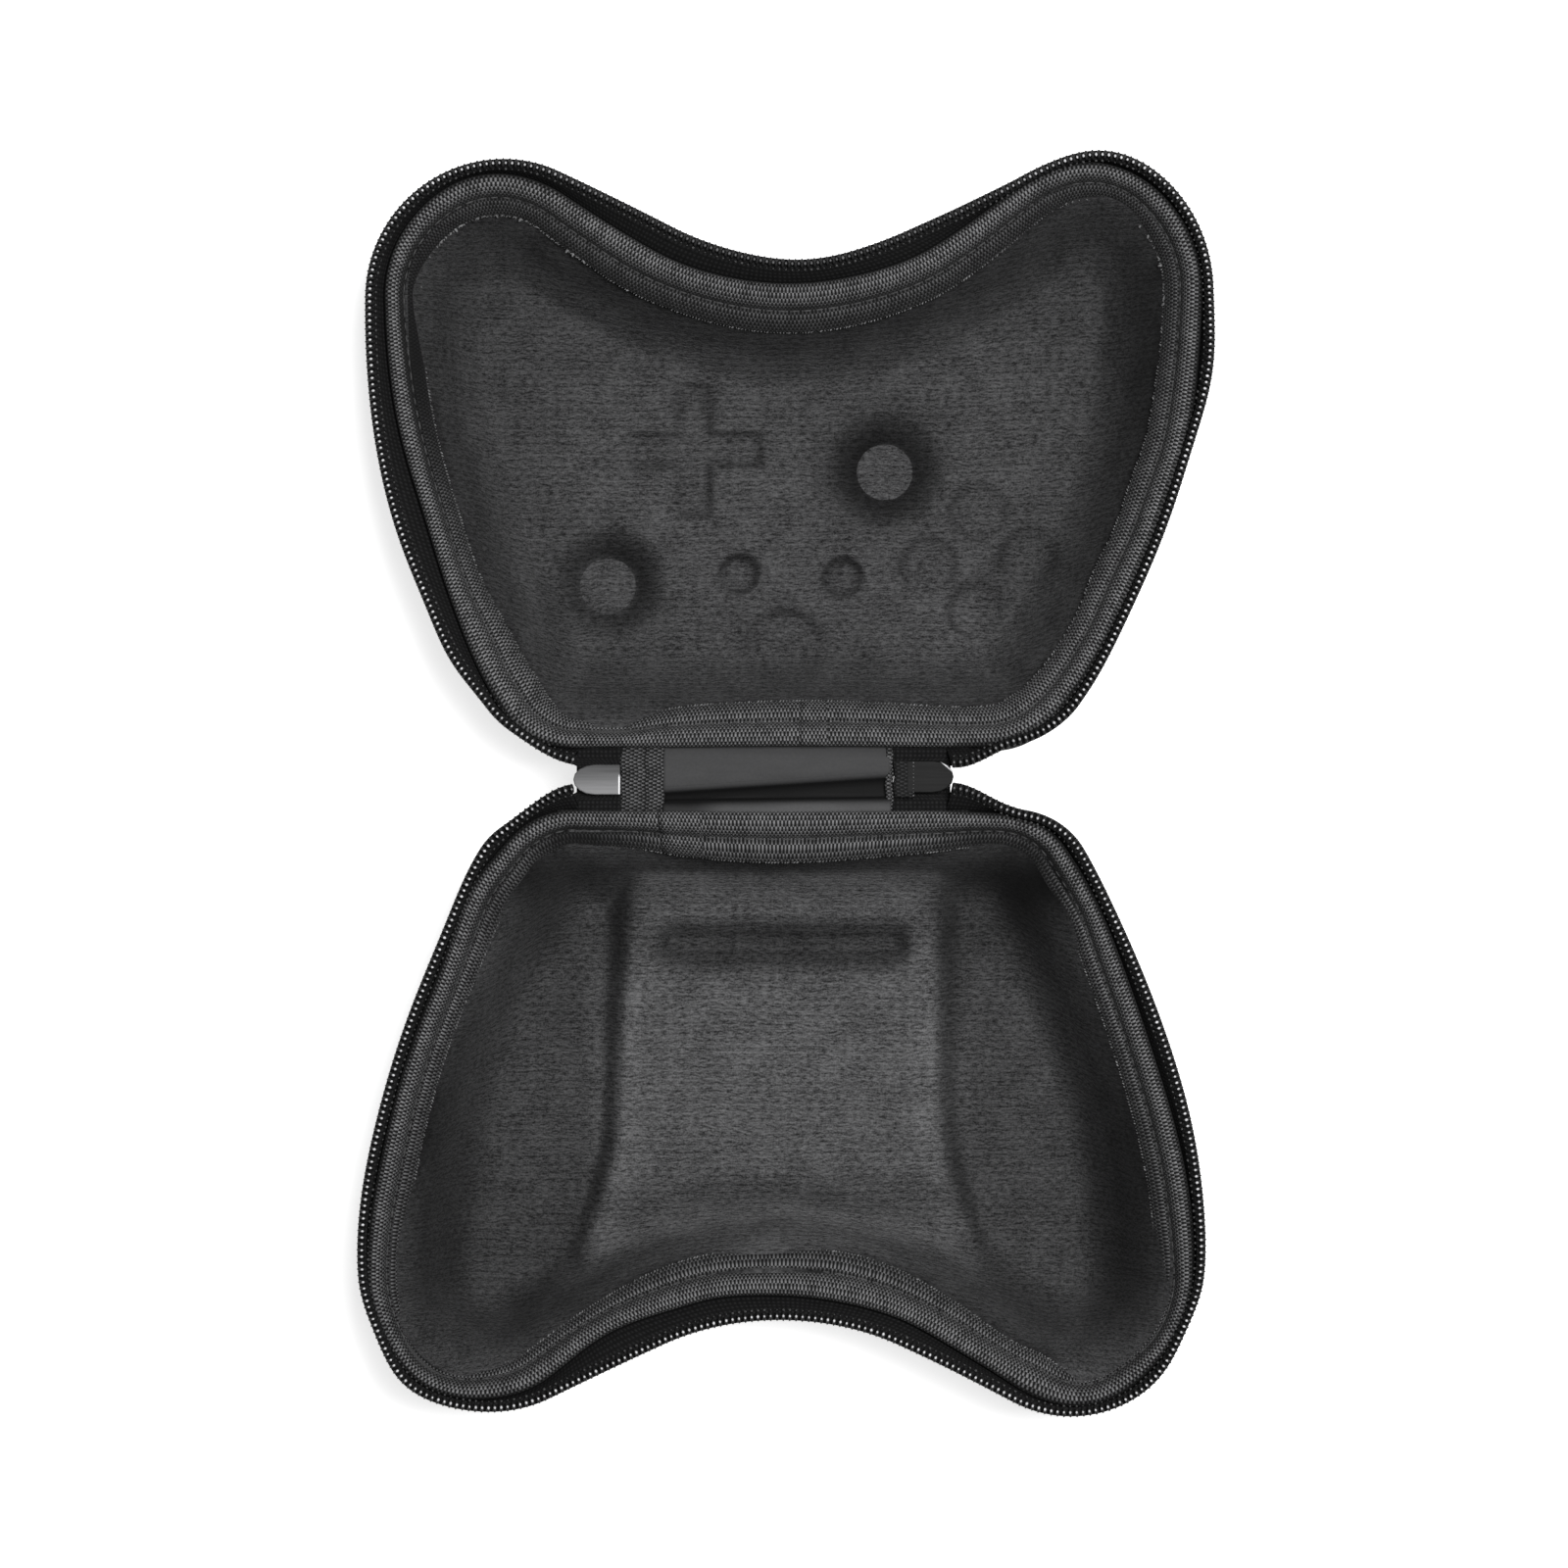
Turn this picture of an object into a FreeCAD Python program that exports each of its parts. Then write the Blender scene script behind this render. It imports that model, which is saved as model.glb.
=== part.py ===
import FreeCAD
import Part
import Sketcher
import math
import os

# Moulded zip case for a game controller, lying open.
# X runs across the case, Y from the base half to the lid half, Z up out of the two hollows.
# The origin is under the middle of the hinge strip, on the surface that the case lies on.
# All sizes are in millimetres.

# Every driving size: alias, value, what it is.
SIZES = [
    # The line of the zip, the same for both halves, drawn for the lid with its horns towards +Y.
    ("hornX", 59.7, "horn centre from the middle line"),
    ("hornY", 101.4, "horn centre from the hinge line"),
    ("hornRadius", 27.6, "radius of the zip round a horn"),
    ("sideRadius", 167.6, "radius of the long side curve"),
    ("sideLift", 2.8, "side curve's centre beyond the horn centre"),
    ("shoulderRadius", 18.5, "radius of the zip at the hinge corners"),
    ("notchRadius", 54.4, "radius of the zip in the notch between the horns"),
    ("flankSlope", 0.492, "slope of the zip from horn to notch"),
    ("hingeGap", 12.0, "width of the hinge strip, and the gap between the closed rims"),
    # The rim of the moulded shell, inside the line of the zip.
    ("rimHeight", 31.0, "height of the shell's rim"),
    ("rimInset", 3.6, "rim inside the zip line at horns and sides"),
    ("rimHingeInset", 1.0, "rim behind the hinge axis"),
    ("rimShoulderRadius", 15.0, "rim radius at the hinge corners"),
    ("rimNotchRadius", 57.6, "rim radius in the notch"),
    ("rimFlankSlope", 0.577, "slope of the rim from horn to notch"),
    ("rimThickness", 3.0, "thickness of the shell at its rim"),
    # The section of the shell, from the rim down.
    ("sheet", 4.0, "thickness of the moulded foam sheet"),
    ("lining", 1.0, "thickness of the knitted lining"),
    ("flangeHeight", 7.0, "height of the sloping mouth"),
    ("flangeRun", 4.5, "mouth runs inwards"),
    ("wallRun", 5.0, "wall runs inwards from the mouth to the corner"),
    ("footRun", 4.5, "corner runs inwards to the flat bottom"),
    ("cornerHeight", 4.5, "height of the rounded bottom corner"),
    ("shoulderShrink", 0.6, "hinge corner radius lost for each millimetre inwards"),
    # The raised block between the two grip wells of the base.
    ("blockHeight", 11.0, "block above the well floors"),
    ("blockNearHalf", 31.5, "half width of the block at the hinge"),
    ("blockFarHalf", 36.0, "half width of the block at the notch"),
    ("blockDraft", 4.5, "block side runs outwards to its foot"),
    ("blockEnd", 118.0, "block reaches past the notch wall"),
    ("troughCentre", 33.8, "cross trough from the hinge line"),
    ("troughHalf", 5.4, "half width of the trough"),
    ("troughReach", 25.5, "half length of the trough"),
    ("troughDepth", 3.0, "depth of the trough"),
    ("troughDraft", 2.6, "trough side runs inwards"),
    ("slopeStart", 80.0, "block top starts to fall"),
    ("slopeEnd", 93.0, "block top stops falling"),
    ("slopeDrop", 3.5, "fall of the block top"),
    ("recessNear", 27.0, "underside recess starts, from the hinge line"),
    ("recessFar", 80.0, "underside recess ends"),
    ("recessDraft", 3.0, "underside recess wall runs inwards"),
    # The hollows inside the lid.
    ("pitDepth", 6.5, "depth of the stick pits"),
    ("pitFloorRadius", 6.0, "floor radius of a stick pit"),
    ("pitMouthRadius", 12.0, "mouth radius of a stick pit"),
    ("pitLeftX", -36.8, "left stick pit"),
    ("pitLeftY", 39.8, "left stick pit"),
    ("pitRightX", 20.4, "right stick pit"),
    ("pitRightY", 63.3, "right stick pit"),
    ("reliefDepth", 1.2, "depth of the button and pad hollows"),
    ("bossGrowth", 2.0, "boss outside a pit is larger than the pit"),
    ("padX", -17.4, "direction pad hollow"),
    ("padY", 67.3, "direction pad hollow"),
    ("padReach", 13.0, "half length of the pad's arms"),
    ("padHalf", 4.6, "half width of the pad's arms"),
    ("buttonsX", 40.1, "middle of the four button hollows"),
    ("buttonsY", 45.3, "middle of the four button hollows"),
    ("buttonsSpread", 10.2, "button from the middle of the four"),
    ("buttonRadius", 5.7, "radius of a button hollow"),
    ("smallX", 1.1, "middle of the two small hollows"),
    ("smallY", 42.7, "middle of the two small hollows"),
    ("smallSpread", 10.7, "small hollow from their middle"),
    ("smallRadius", 4.3, "radius of a small hollow"),
    ("centreX", 0.7, "centre hollow"),
    ("centreY", 28.6, "centre hollow"),
    ("centreRadius", 8.4, "radius of the centre hollow"),
    # The woven binding over the rim.
    ("bindingThickness", 1.0, "thickness of the woven binding"),
    ("bindingRise", 1.2, "binding above the rim"),
    ("bindingOutside", 0.8, "binding outside the rim at its brow"),
    ("bindingInside", 1.4, "binding inside the rim at its brow"),
    ("bindingCrown", 0.9, "binding's rounded edge runs inwards"),
    # The zip: a tape that splays outwards and the coil along its edge.
    ("zipRise", 5.85, "coil top above the rim"),
    ("coilWidth", 2.6, "width of the coil"),
    ("coilHeight", 2.25, "height of the coil"),
    ("coilFlat", 0.6, "coil's rounding"),
    ("tapeThickness", 0.7, "thickness of the zip tape"),
    ("tapeFoot", 8.0, "tape's lower edge below the rim"),
    ("tapeFootRun", 4.0, "tape's lower edge runs inwards with the shell"),
    ("tapeStand", 0.4, "tape outside the binding"),
    ("tapeBend", 0.7, "tape starts to splay below the rim"),
    # The hinge strip, its bound ends, the sliders and the pulls.
    ("hingeCentreX", -4.65, "middle of the two sliders"),
    ("sliderSpan", 78.5, "outer end of one slider to the other"),
    ("sliderLength", 9.7, "length of a slider"),
    ("sliderWidth", 6.9, "width of a slider"),
    ("sliderHeight", 4.8, "height of a slider's two plates"),
    ("sliderPlate", 0.9, "thickness of a slider plate and flange"),
    ("sliderPost", 2.4, "length of the post between the plates"),
    ("noseHalf", 1.2, "half width of a slider's nose"),
    ("noseCheek", 2.6, "half width of a slider where the nose rounds off"),
    ("noseRound", 0.5, "nose tip to the rounded cheek"),
    ("noseLength", 1.55, "nose tip to the full width"),
    ("tapeSlot", 1.3, "slot for the tape between the flanges"),
    ("stripDrop", 0.6, "hinge strip below the rims"),
    ("stripThickness", 0.8, "thickness of the hinge strip"),
    ("stripGap", 0.4, "hinge strip from each rim"),
    ("endLeftWidth", 6.5, "width of the left bound end"),
    ("endRightWidth", 4.2, "width of the right bound end"),
    ("endThickness", 1.8, "thickness of a bound end"),
    ("endRounding", 0.6, "rounding of a bound end's long edges"),
    ("fit", 0.3, "clearance between pieces that meet"),
    ("stubReach", 4.6, "closed chain reaches into a slider"),
    ("stubHalf", 1.6, "half width of the closed chain"),
    ("bailHeight", 2.2, "opening under the bail"),
    ("bailHalf", 2.6, "half length of the bail's opening"),
    ("bailBar", 0.9, "thickness of the bail"),
    ("bailWidth", 2.0, "width of the bail"),
    ("pullLength", 21.0, "pivot to the tip of a pull"),
    ("pullWidth", 6.2, "width of a pull"),
    ("pullThickness", 1.2, "thickness of a pull and of its bar"),
    ("pullEye", 4.4, "length of the eye"),
    ("pullEyeSlack", 0.4, "eye wider than the bail, each side"),
    ("pullNeck", 2.3, "half width of the pull round its eye"),
    ("pullShoulder", 4.3, "eye to the full width"),
    ("pullTipHalf", 1.5, "half width of the tip"),
    ("pullTipLength", 3.1, "length of the narrowing tip"),
]


class Size:
    # A number together with the sheet expression that gives it.
    def __init__(self, number, text):
        self.number = number
        self.text = text

    def join(self, other, sign, number):
        text = other.text if isinstance(other, Size) else repr(float(other))
        return Size(number, "(%s %s %s)" % (self.text, sign, text))

    def __add__(self, other):
        return self.join(other, "+", self.number + plain(other))

    def __sub__(self, other):
        return self.join(other, "-", self.number - plain(other))

    def __mul__(self, other):
        return self.join(other, "*", self.number * plain(other))

    def __truediv__(self, other):
        return self.join(other, "/", self.number / plain(other))

    def __neg__(self):
        return Size(-self.number, "(0 - %s)" % self.text)

    def root(self):
        return Size(math.sqrt(self.number), "sqrt(%s)" % self.text)


def plain(value):
    return value.number if isinstance(value, Size) else float(value)


doc = FreeCAD.newDocument("controllerCase")
sheet = doc.addObject("Spreadsheet::Sheet", "Sizes")
for row, (alias, value, meaning) in enumerate(SIZES, 1):
    sheet.set("A%d" % row, meaning)
    sheet.set("B%d" % row, str(value))
    sheet.setAlias("B%d" % row, alias)
doc.recompute()

ZERO = Size(0.0, "0")
OVERRUN = 1.0  # how far a cutting shape runs past what it cuts


def size(alias):
    return Size(float(sheet.get(alias)), "Sizes." + alias)


def bind(item, path, value):
    item.setExpression(path, value.text)


# Bodies, sketches and lofts

def newBody(name, turned=False):
    body = doc.addObject("PartDesign::Body", name)
    body.Label = name
    if turned:
        body.Placement = FreeCAD.Placement(FreeCAD.Vector(), FreeCAD.Rotation(FreeCAD.Vector(0, 0, 1), 180))
    return body


def newSketch(body, name, role="XY_Plane", offset=ZERO):
    sketch = body.newObject("Sketcher::SketchObject", name)
    plane = [item for item in body.Origin.OriginFeatures if item.Role == role][0]
    sketch.AttachmentSupport = [(plane, "")]
    sketch.MapMode = "FlatFace"
    sketch.AttachmentOffset = FreeCAD.Placement(FreeCAD.Vector(0, 0, offset.number), FreeCAD.Rotation())
    bind(sketch, "AttachmentOffset.Base.z", offset)
    return sketch


def dimension(sketch, name, kind, parts, value):
    index = sketch.addConstraint(Sketcher.Constraint(kind, *parts, value.number))
    sketch.renameConstraint(index, name)
    bind(sketch, "Constraints." + name, value)


def polygon(sketch, corners):
    points = [FreeCAD.Vector(plain(x), plain(y), 0) for x, y in corners]
    first = sketch.GeometryCount
    count = len(points)
    for i in range(count):
        sketch.addGeometry(Part.LineSegment(points[i], points[(i + 1) % count]), False)
    for i in range(count):
        sketch.addConstraint(Sketcher.Constraint("Coincident", first + i, 2, first + (i + 1) % count, 1))
    for i, (x, y) in enumerate(corners):
        dimension(sketch, "x%d" % (first + i), "DistanceX", (first + i, 1), x)
        dimension(sketch, "y%d" % (first + i), "DistanceY", (first + i, 1), y)


def rectangle(sketch, xLow, yLow, xHigh, yHigh):
    polygon(sketch, [(xLow, yLow), (xHigh, yLow), (xHigh, yHigh), (xLow, yHigh)])


class Outline:
    # One closed line round a half: horns, long sides, hinge corners, hinge edge and notch,
    # all tangent to each other. Smaller or larger copies keep the same centres.
    def __init__(self, horn, side, shoulder, notch, slope, hinge):
        self.horn = horn
        self.side = side
        self.shoulder = shoulder
        self.notch = notch
        self.slope = slope
        self.hinge = hinge


def zipLine(inset):
    return Outline(size("hornRadius") - inset, size("sideRadius") - inset,
                   size("shoulderRadius") - inset, size("notchRadius") + inset,
                   size("flankSlope"), size("hingeGap") / 2 + inset)


def rimLine(run):
    inset = size("rimInset") + run
    return Outline(size("hornRadius") - inset, size("sideRadius") - inset,
                   size("rimShoulderRadius") - run * size("shoulderShrink"),
                   size("rimNotchRadius") + run, size("rimFlankSlope"),
                   size("hingeGap") / 2 + size("rimHingeInset") + run)


def drawOutline(body, name, height, outline):
    sketch = newSketch(body, name, offset=height)
    hornX, hornY = size("hornX"), size("hornY")
    sideY = hornY + size("sideLift")
    steep = (outline.slope * outline.slope + 1).root()
    notchY = hornY + (outline.horn + outline.notch) * steep - outline.slope * hornX

    horn = FreeCAD.Vector(hornX.number, hornY.number, 0)
    notch = FreeCAD.Vector(0, notchY.number, 0)
    reach = size("sideRadius").number - size("hornRadius").number
    side = FreeCAD.Vector(horn.x - math.sqrt(reach ** 2 - size("sideLift").number ** 2), sideY.number, 0)
    shoulderY = outline.hinge.number + outline.shoulder.number
    across = outline.side.number - outline.shoulder.number
    shoulderX = side.x + math.sqrt(across ** 2 - (shoulderY - side.y) ** 2)
    shoulder = FreeCAD.Vector(shoulderX, shoulderY, 0)

    toHorn = math.atan2(horn.y - side.y, horn.x - side.x)
    toShoulder = math.atan2(shoulder.y - side.y, shoulder.x - side.x)
    tilt = math.atan(outline.slope.number)
    normal = FreeCAD.Vector(-math.sin(tilt), math.cos(tilt), 0)
    flankTop = horn + normal * outline.horn.number
    flankFoot = notch - normal * outline.notch.number

    def mirrored(point):
        return FreeCAD.Vector(-point.x, point.y, 0)

    def arc(centre, radius, start, end):
        circle = Part.Circle(centre, FreeCAD.Vector(0, 0, 1), radius.number)
        return Part.ArcOfCircle(circle, start, end)

    quarter, half = math.pi / 2, math.pi
    corner = FreeCAD.Vector(shoulder.x, outline.hinge.number, 0)
    pieces = [
        Part.LineSegment(mirrored(corner), corner),
        arc(shoulder, outline.shoulder, -quarter, toShoulder),
        arc(side, outline.side, toShoulder, toHorn),
        arc(horn, outline.horn, toHorn, quarter + tilt),
        Part.LineSegment(flankTop, flankFoot),
        arc(notch, outline.notch, -quarter - tilt, -quarter + tilt),
        Part.LineSegment(mirrored(flankFoot), mirrored(flankTop)),
        arc(mirrored(horn), outline.horn, quarter - tilt, half - toHorn),
        arc(mirrored(side), outline.side, half - toHorn, half - toShoulder),
        arc(mirrored(shoulder), outline.shoulder, half - toShoulder, 3 * quarter),
    ]
    for piece in pieces:
        sketch.addGeometry(piece, False)
    hinge, shoulderR, sideR, hornR, flankR, notchArc, flankL, hornL, sideL, shoulderL = range(10)
    start, end, middle, upright = 1, 2, 3, -2
    joins = [(hinge, end, shoulderR, start), (shoulderR, end, sideR, start), (sideR, end, hornR, start),
             (hornR, end, flankR, start), (flankR, end, notchArc, end), (notchArc, start, flankL, start),
             (flankL, end, hornL, start), (hornL, end, sideL, start), (sideL, end, shoulderL, start),
             (shoulderL, end, hinge, start)]
    for join in joins:
        sketch.addConstraint(Sketcher.Constraint("Tangent", *join))
    for right, left in [(hornR, hornL), (sideR, sideL), (shoulderR, shoulderL)]:
        sketch.addConstraint(Sketcher.Constraint("Equal", right, left))
    sketch.addConstraint(Sketcher.Constraint("Symmetric", hornR, middle, hornL, middle, upright))
    sketch.addConstraint(Sketcher.Constraint("Horizontal", sideR, middle, sideL, middle))
    sketch.addConstraint(Sketcher.Constraint("PointOnObject", notchArc, middle, upright))
    sketch.addConstraint(Sketcher.Constraint("Horizontal", hinge))
    dimension(sketch, "hornRadius", "Radius", (hornR,), outline.horn)
    dimension(sketch, "sideRadius", "Radius", (sideR,), outline.side)
    dimension(sketch, "shoulderRadius", "Radius", (shoulderR,), outline.shoulder)
    dimension(sketch, "notchRadius", "Radius", (notchArc,), outline.notch)
    dimension(sketch, "hornX", "DistanceX", (hornR, middle), hornX)
    dimension(sketch, "hornY", "DistanceY", (hornR, middle), hornY)
    dimension(sketch, "sideY", "DistanceY", (sideR, middle), sideY)
    dimension(sketch, "notchY", "DistanceY", (notchArc, middle), notchY)
    dimension(sketch, "hingeY", "DistanceY", (hinge, start), outline.hinge)
    return sketch


def loft(body, kind, name, sketches):
    feature = body.newObject("PartDesign::%sLoft" % kind, name)
    feature.Profile = sketches[0]
    feature.Sections = sketches[1:]
    feature.Ruled = True
    for sketch in sketches:
        sketch.Visibility = False
    return feature


def outlineLoft(body, kind, name, levels):
    sketches = []
    for number, (height, outline) in enumerate(levels):
        sketches.append(drawOutline(body, "%sLine%d" % (name, number), height, outline))
    return loft(body, kind, name, sketches)


def cut(name, base, tool):
    feature = doc.addObject("Part::Cut", name)
    feature.Base = base
    feature.Tool = tool
    feature.Label = name
    return feature


# The moulded shells

rimHeight = size("rimHeight")
mouthFoot = rimHeight - size("flangeHeight")


def sectionLevels(floor, lift, rimRun, grow):
    # Heights and inward runs of the shell's section, from the rim down to the floor.
    turn = size("flangeRun") + size("wallRun")
    return [
        (rimHeight, rimLine(rimRun)),
        (mouthFoot, rimLine(size("flangeRun") + grow)),
        (floor + lift + size("cornerHeight"), rimLine(turn + grow)),
        (floor + lift, rimLine(turn + size("footRun") + grow)),
    ]


def shellForm(body, floor):
    outlineLoft(body, "Additive", body.Name + "Skin", sectionLevels(floor, ZERO, ZERO, ZERO))


def hollowForm(body, floor, coat):
    # The hollow of a half: bare foam with no coat, or the lining's face with its thickness.
    lift = size("sheet") + coat
    levels = sectionLevels(floor, lift, size("rimThickness") + coat, size("sheet") + coat)
    outlineLoft(body, "Additive", body.Name + "Skin", levels)


# The lid: stick pits, which show as bosses outside, and shallow hollows for pad and buttons

lidFloor = size("pitDepth")


def placeFeature(feature, x, y, z):
    bind(feature, "Placement.Base.x", x)
    bind(feature, "Placement.Base.y", y)
    bind(feature, "Placement.Base.z", z)


def addPit(body, name, x, y, top, grow):
    cone = body.newObject("PartDesign::AdditiveCone", name)
    bind(cone, "Radius1", size("pitFloorRadius") + grow)
    bind(cone, "Radius2", size("pitMouthRadius") + grow)
    bind(cone, "Height", size("pitDepth"))
    placeFeature(cone, x, y, top - size("pitDepth"))


def addDisc(body, name, x, y, radius, top, grow):
    disc = body.newObject("PartDesign::AdditiveCylinder", name)
    bind(disc, "Radius", radius + grow)
    bind(disc, "Height", size("reliefDepth"))
    placeFeature(disc, x, y, top - size("reliefDepth"))


def addPad(body, name, top, grow):
    sketch = newSketch(body, name + "Cross", offset=top - size("reliefDepth"))
    x, y = size("padX"), size("padY")
    reach, half = size("padReach") + grow, size("padHalf") + grow
    polygon(sketch, [
        (x - half, y - reach), (x + half, y - reach), (x + half, y - half), (x + reach, y - half),
        (x + reach, y + half), (x + half, y + half), (x + half, y + reach), (x - half, y + reach),
        (x - half, y + half), (x - reach, y + half), (x - reach, y - half), (x - half, y - half)])
    pad = body.newObject("PartDesign::Pad", name)
    pad.Profile = sketch
    bind(pad, "Length", size("reliefDepth"))


def addPits(body, top, grow):
    name = body.Name
    addPit(body, name + "PitLeft", size("pitLeftX"), size("pitLeftY"), top, grow)
    addPit(body, name + "PitRight", size("pitRightX"), size("pitRightY"), top, grow)


def addShallows(body, top, grow):
    name = body.Name
    addPad(body, name + "Pad", top, grow)
    spread = size("buttonsSpread")
    for number, (right, up) in enumerate([(1, 0), (0, 1), (-1, 0), (0, -1)]):
        addDisc(body, name + "Button%d" % number, size("buttonsX") + spread * right,
                size("buttonsY") + spread * up, size("buttonRadius"), top, grow)
    for number, side in enumerate([-1, 1]):
        addDisc(body, name + "Small%d" % number, size("smallX") + size("smallSpread") * side,
                size("smallY"), size("smallRadius"), top, grow)
    addDisc(body, name + "Centre", size("centreX"), size("centreY"), size("centreRadius"), top, grow)


lidOuter = newBody("lidOuter")
shellForm(lidOuter, lidFloor)
addPits(lidOuter, lidFloor, size("lining") + size("bossGrowth"))

lidBare = newBody("lidBareHollow")
hollowForm(lidBare, lidFloor, ZERO)
addPits(lidBare, lidFloor + size("sheet"), size("lining"))
addShallows(lidBare, lidFloor + size("sheet"), size("lining"))

lidLined = newBody("lidLinedHollow")
hollowForm(lidLined, lidFloor, size("lining"))
addPits(lidLined, lidFloor + size("sheet") + size("lining"), ZERO)
addShallows(lidLined, lidFloor + size("sheet") + size("lining"), ZERO)


# The base: two grip wells with a raised block between them

def blockForm(body, coat):
    # The block's side faces lean, its top has a cross trough and falls towards the notch.
    name = body.Name
    foot = size("sheet") + coat
    top = size("sheet") + size("blockHeight") + coat
    near, far = size("blockNearHalf") + coat, size("blockFarHalf") + coat
    draft, end = size("blockDraft"), size("blockEnd")
    low = newSketch(body, name + "Foot", offset=foot - size("lining") * 2)
    polygon(low, [(-near - draft, ZERO), (near + draft, ZERO), (far + draft, end), (-far - draft, end)])
    high = newSketch(body, name + "Top", offset=top)
    polygon(high, [(-near, ZERO), (near, ZERO), (far, end), (-far, end)])
    loft(body, "Additive", name + "Sides", [low, high])

    centre, half, reach = size("troughCentre"), size("troughHalf") - coat, size("troughReach") - coat
    inwards = size("troughDraft")
    mouth = newSketch(body, name + "TroughMouth", offset=top)
    rectangle(mouth, -reach, centre - half, reach, centre + half)
    bed = newSketch(body, name + "TroughBed", offset=top - size("troughDepth"))
    rectangle(bed, inwards - reach, centre - half + inwards, reach - inwards, centre + half - inwards)
    loft(body, "Subtractive", name + "Trough", [mouth, bed])

    fall = newSketch(body, name + "FallProfile", "YZ_Plane")
    start, stop, drop = size("slopeStart"), size("slopeEnd"), size("slopeDrop")
    polygon(fall, [(start, top), (stop, top - drop), (end + OVERRUN, top - drop), (end + OVERRUN, top)])
    pocket = body.newObject("PartDesign::Pocket", name + "Fall")
    pocket.Profile = fall
    pocket.Midplane = True
    bind(pocket, "Length", (far + draft + OVERRUN) * 2)


def recessForm(body):
    # The hollow under the block, which keeps the sheet about as thick as its walls.
    wall = size("sheet")
    top = size("blockHeight") - size("troughDepth")
    near, far = size("blockNearHalf") + size("blockDraft") - wall, size("blockFarHalf") + size("blockDraft") - wall
    start, stop, draft = size("recessNear"), size("recessFar"), size("recessDraft")
    low = newSketch(body, body.Name + "Mouth")
    polygon(low, [(-near, start), (near, start), (far, stop), (-far, stop)])
    high = newSketch(body, body.Name + "Roof", offset=top)
    polygon(high, [(draft - near, start + draft), (near - draft, start + draft),
                   (far - draft, stop - draft), (draft - far, stop - draft)])
    loft(body, "Additive", body.Name + "Sides", [low, high])


baseOuter = newBody("baseOuter", True)
shellForm(baseOuter, ZERO)
baseRecess = newBody("baseRecess", True)
recessForm(baseRecess)

baseHollows = []
for name, coat in [("baseBare", ZERO), ("baseLined", size("lining"))]:
    hollow = newBody(name + "Hollow", True)
    hollowForm(hollow, ZERO, coat)
    block = newBody(name + "Block", True)
    blockForm(block, coat)
    baseHollows.append(cut(name, hollow, block))
baseBare, baseLined = baseHollows


# Shells and linings, each lining cut off where the binding starts

def topSlab(name):
    slab = doc.addObject("Part::Box", name)
    reach = size("hornY") * 2
    bind(slab, "Length", reach * 2)
    bind(slab, "Width", reach * 2)
    bind(slab, "Height", rimHeight)
    placeFeature(slab, -reach, -reach, mouthFoot)
    return slab


lidShell = cut("lid_shell", lidOuter, lidBare)
lidLining = cut("lid_lining", cut("lidCoat", lidBare, lidLined), topSlab("lidSlab"))
baseShell = cut("base_shell", cut("baseThick", baseOuter, baseBare), baseRecess)
baseLining = cut("base_lining", cut("baseCoat", baseBare, baseLined), topSlab("baseSlab"))


# Binding, zip tape and coil

def ring(name, turned, outer, inner):
    body = newBody(name, turned)
    outlineLoft(body, "Additive", name + "Outer", outer)
    outlineLoft(body, "Subtractive", name + "Inner", inner)
    return body


def hingeGapBox(name, turned):
    # The stretch at the hinge that has no chain, between the outer ends of the two sliders.
    box = doc.addObject("Part::Box", name)
    middle = size("hingeCentreX")
    span = size("sliderSpan") + size("fit") * 2
    deep = size("hingeGap") + size("shoulderRadius")
    bind(box, "Length", span)
    bind(box, "Width", deep)
    bind(box, "Height", rimHeight * 2)
    placeFeature(box, middle - span / 2, -deep if turned else ZERO, ZERO)
    return box


def bindingFor(half, turned, shell):
    foot = mouthFoot + size("fit")
    top = rimHeight + size("bindingRise")
    brow = rimHeight - size("bindingThickness") / 2
    wrap = size("bindingThickness")
    crown = size("bindingCrown")
    outer = [(foot, rimLine(size("flangeRun") - wrap)), (brow, rimLine(-size("bindingOutside"))),
             (top, rimLine(crown))]
    inner = [(foot, rimLine(size("flangeRun") + size("sheet") + wrap)),
             (brow, rimLine(size("rimThickness") + size("bindingInside"))),
             (top, rimLine(size("rimThickness") - crown / 2))]
    whole = ring(half + "BindingRing", turned, outer, inner)
    return whole, cut(half + "_binding", whole, shell)


def tapeFor(half, turned, shell, bindingRing):
    coilFoot = rimHeight + size("zipRise") - size("coilHeight")
    foot = rimHeight - size("tapeFoot")
    bend = rimHeight - size("tapeBend")
    thick = size("tapeThickness")
    stand = size("bindingOutside") + size("tapeStand")
    edge = (size("coilWidth") - thick) / 2
    outer = [(foot, rimLine(size("tapeFootRun"))), (bend, rimLine(-stand)), (coilFoot, zipLine(edge))]
    inner = [(foot, rimLine(size("tapeFootRun") + size("sheet") / 2)), (bend, rimLine(thick - stand)),
             (coilFoot, zipLine(edge + thick))]
    whole = ring(half + "TapeRing", turned, outer, inner)
    outside = cut(half + "TapeOutside", cut(half + "TapeBare", whole, shell), bindingRing)
    return cut(half + "_zip_tape", outside, hingeGapBox(half + "TapeGap", turned))


def coilFor(half, turned):
    top = rimHeight + size("zipRise")
    foot = top - size("coilHeight")
    middle = (top + foot) / 2
    flat, wide = size("coilFlat"), size("coilWidth")
    outer = [(foot, zipLine(flat)), (middle, zipLine(ZERO)), (top, zipLine(flat))]
    inner = [(foot, zipLine(wide - flat)), (middle, zipLine(wide)), (top, zipLine(wide - flat))]
    whole = ring(half + "CoilRing", turned, outer, inner)
    return cut(half + "_zip_coil", whole, hingeGapBox(half + "CoilGap", turned))


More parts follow.
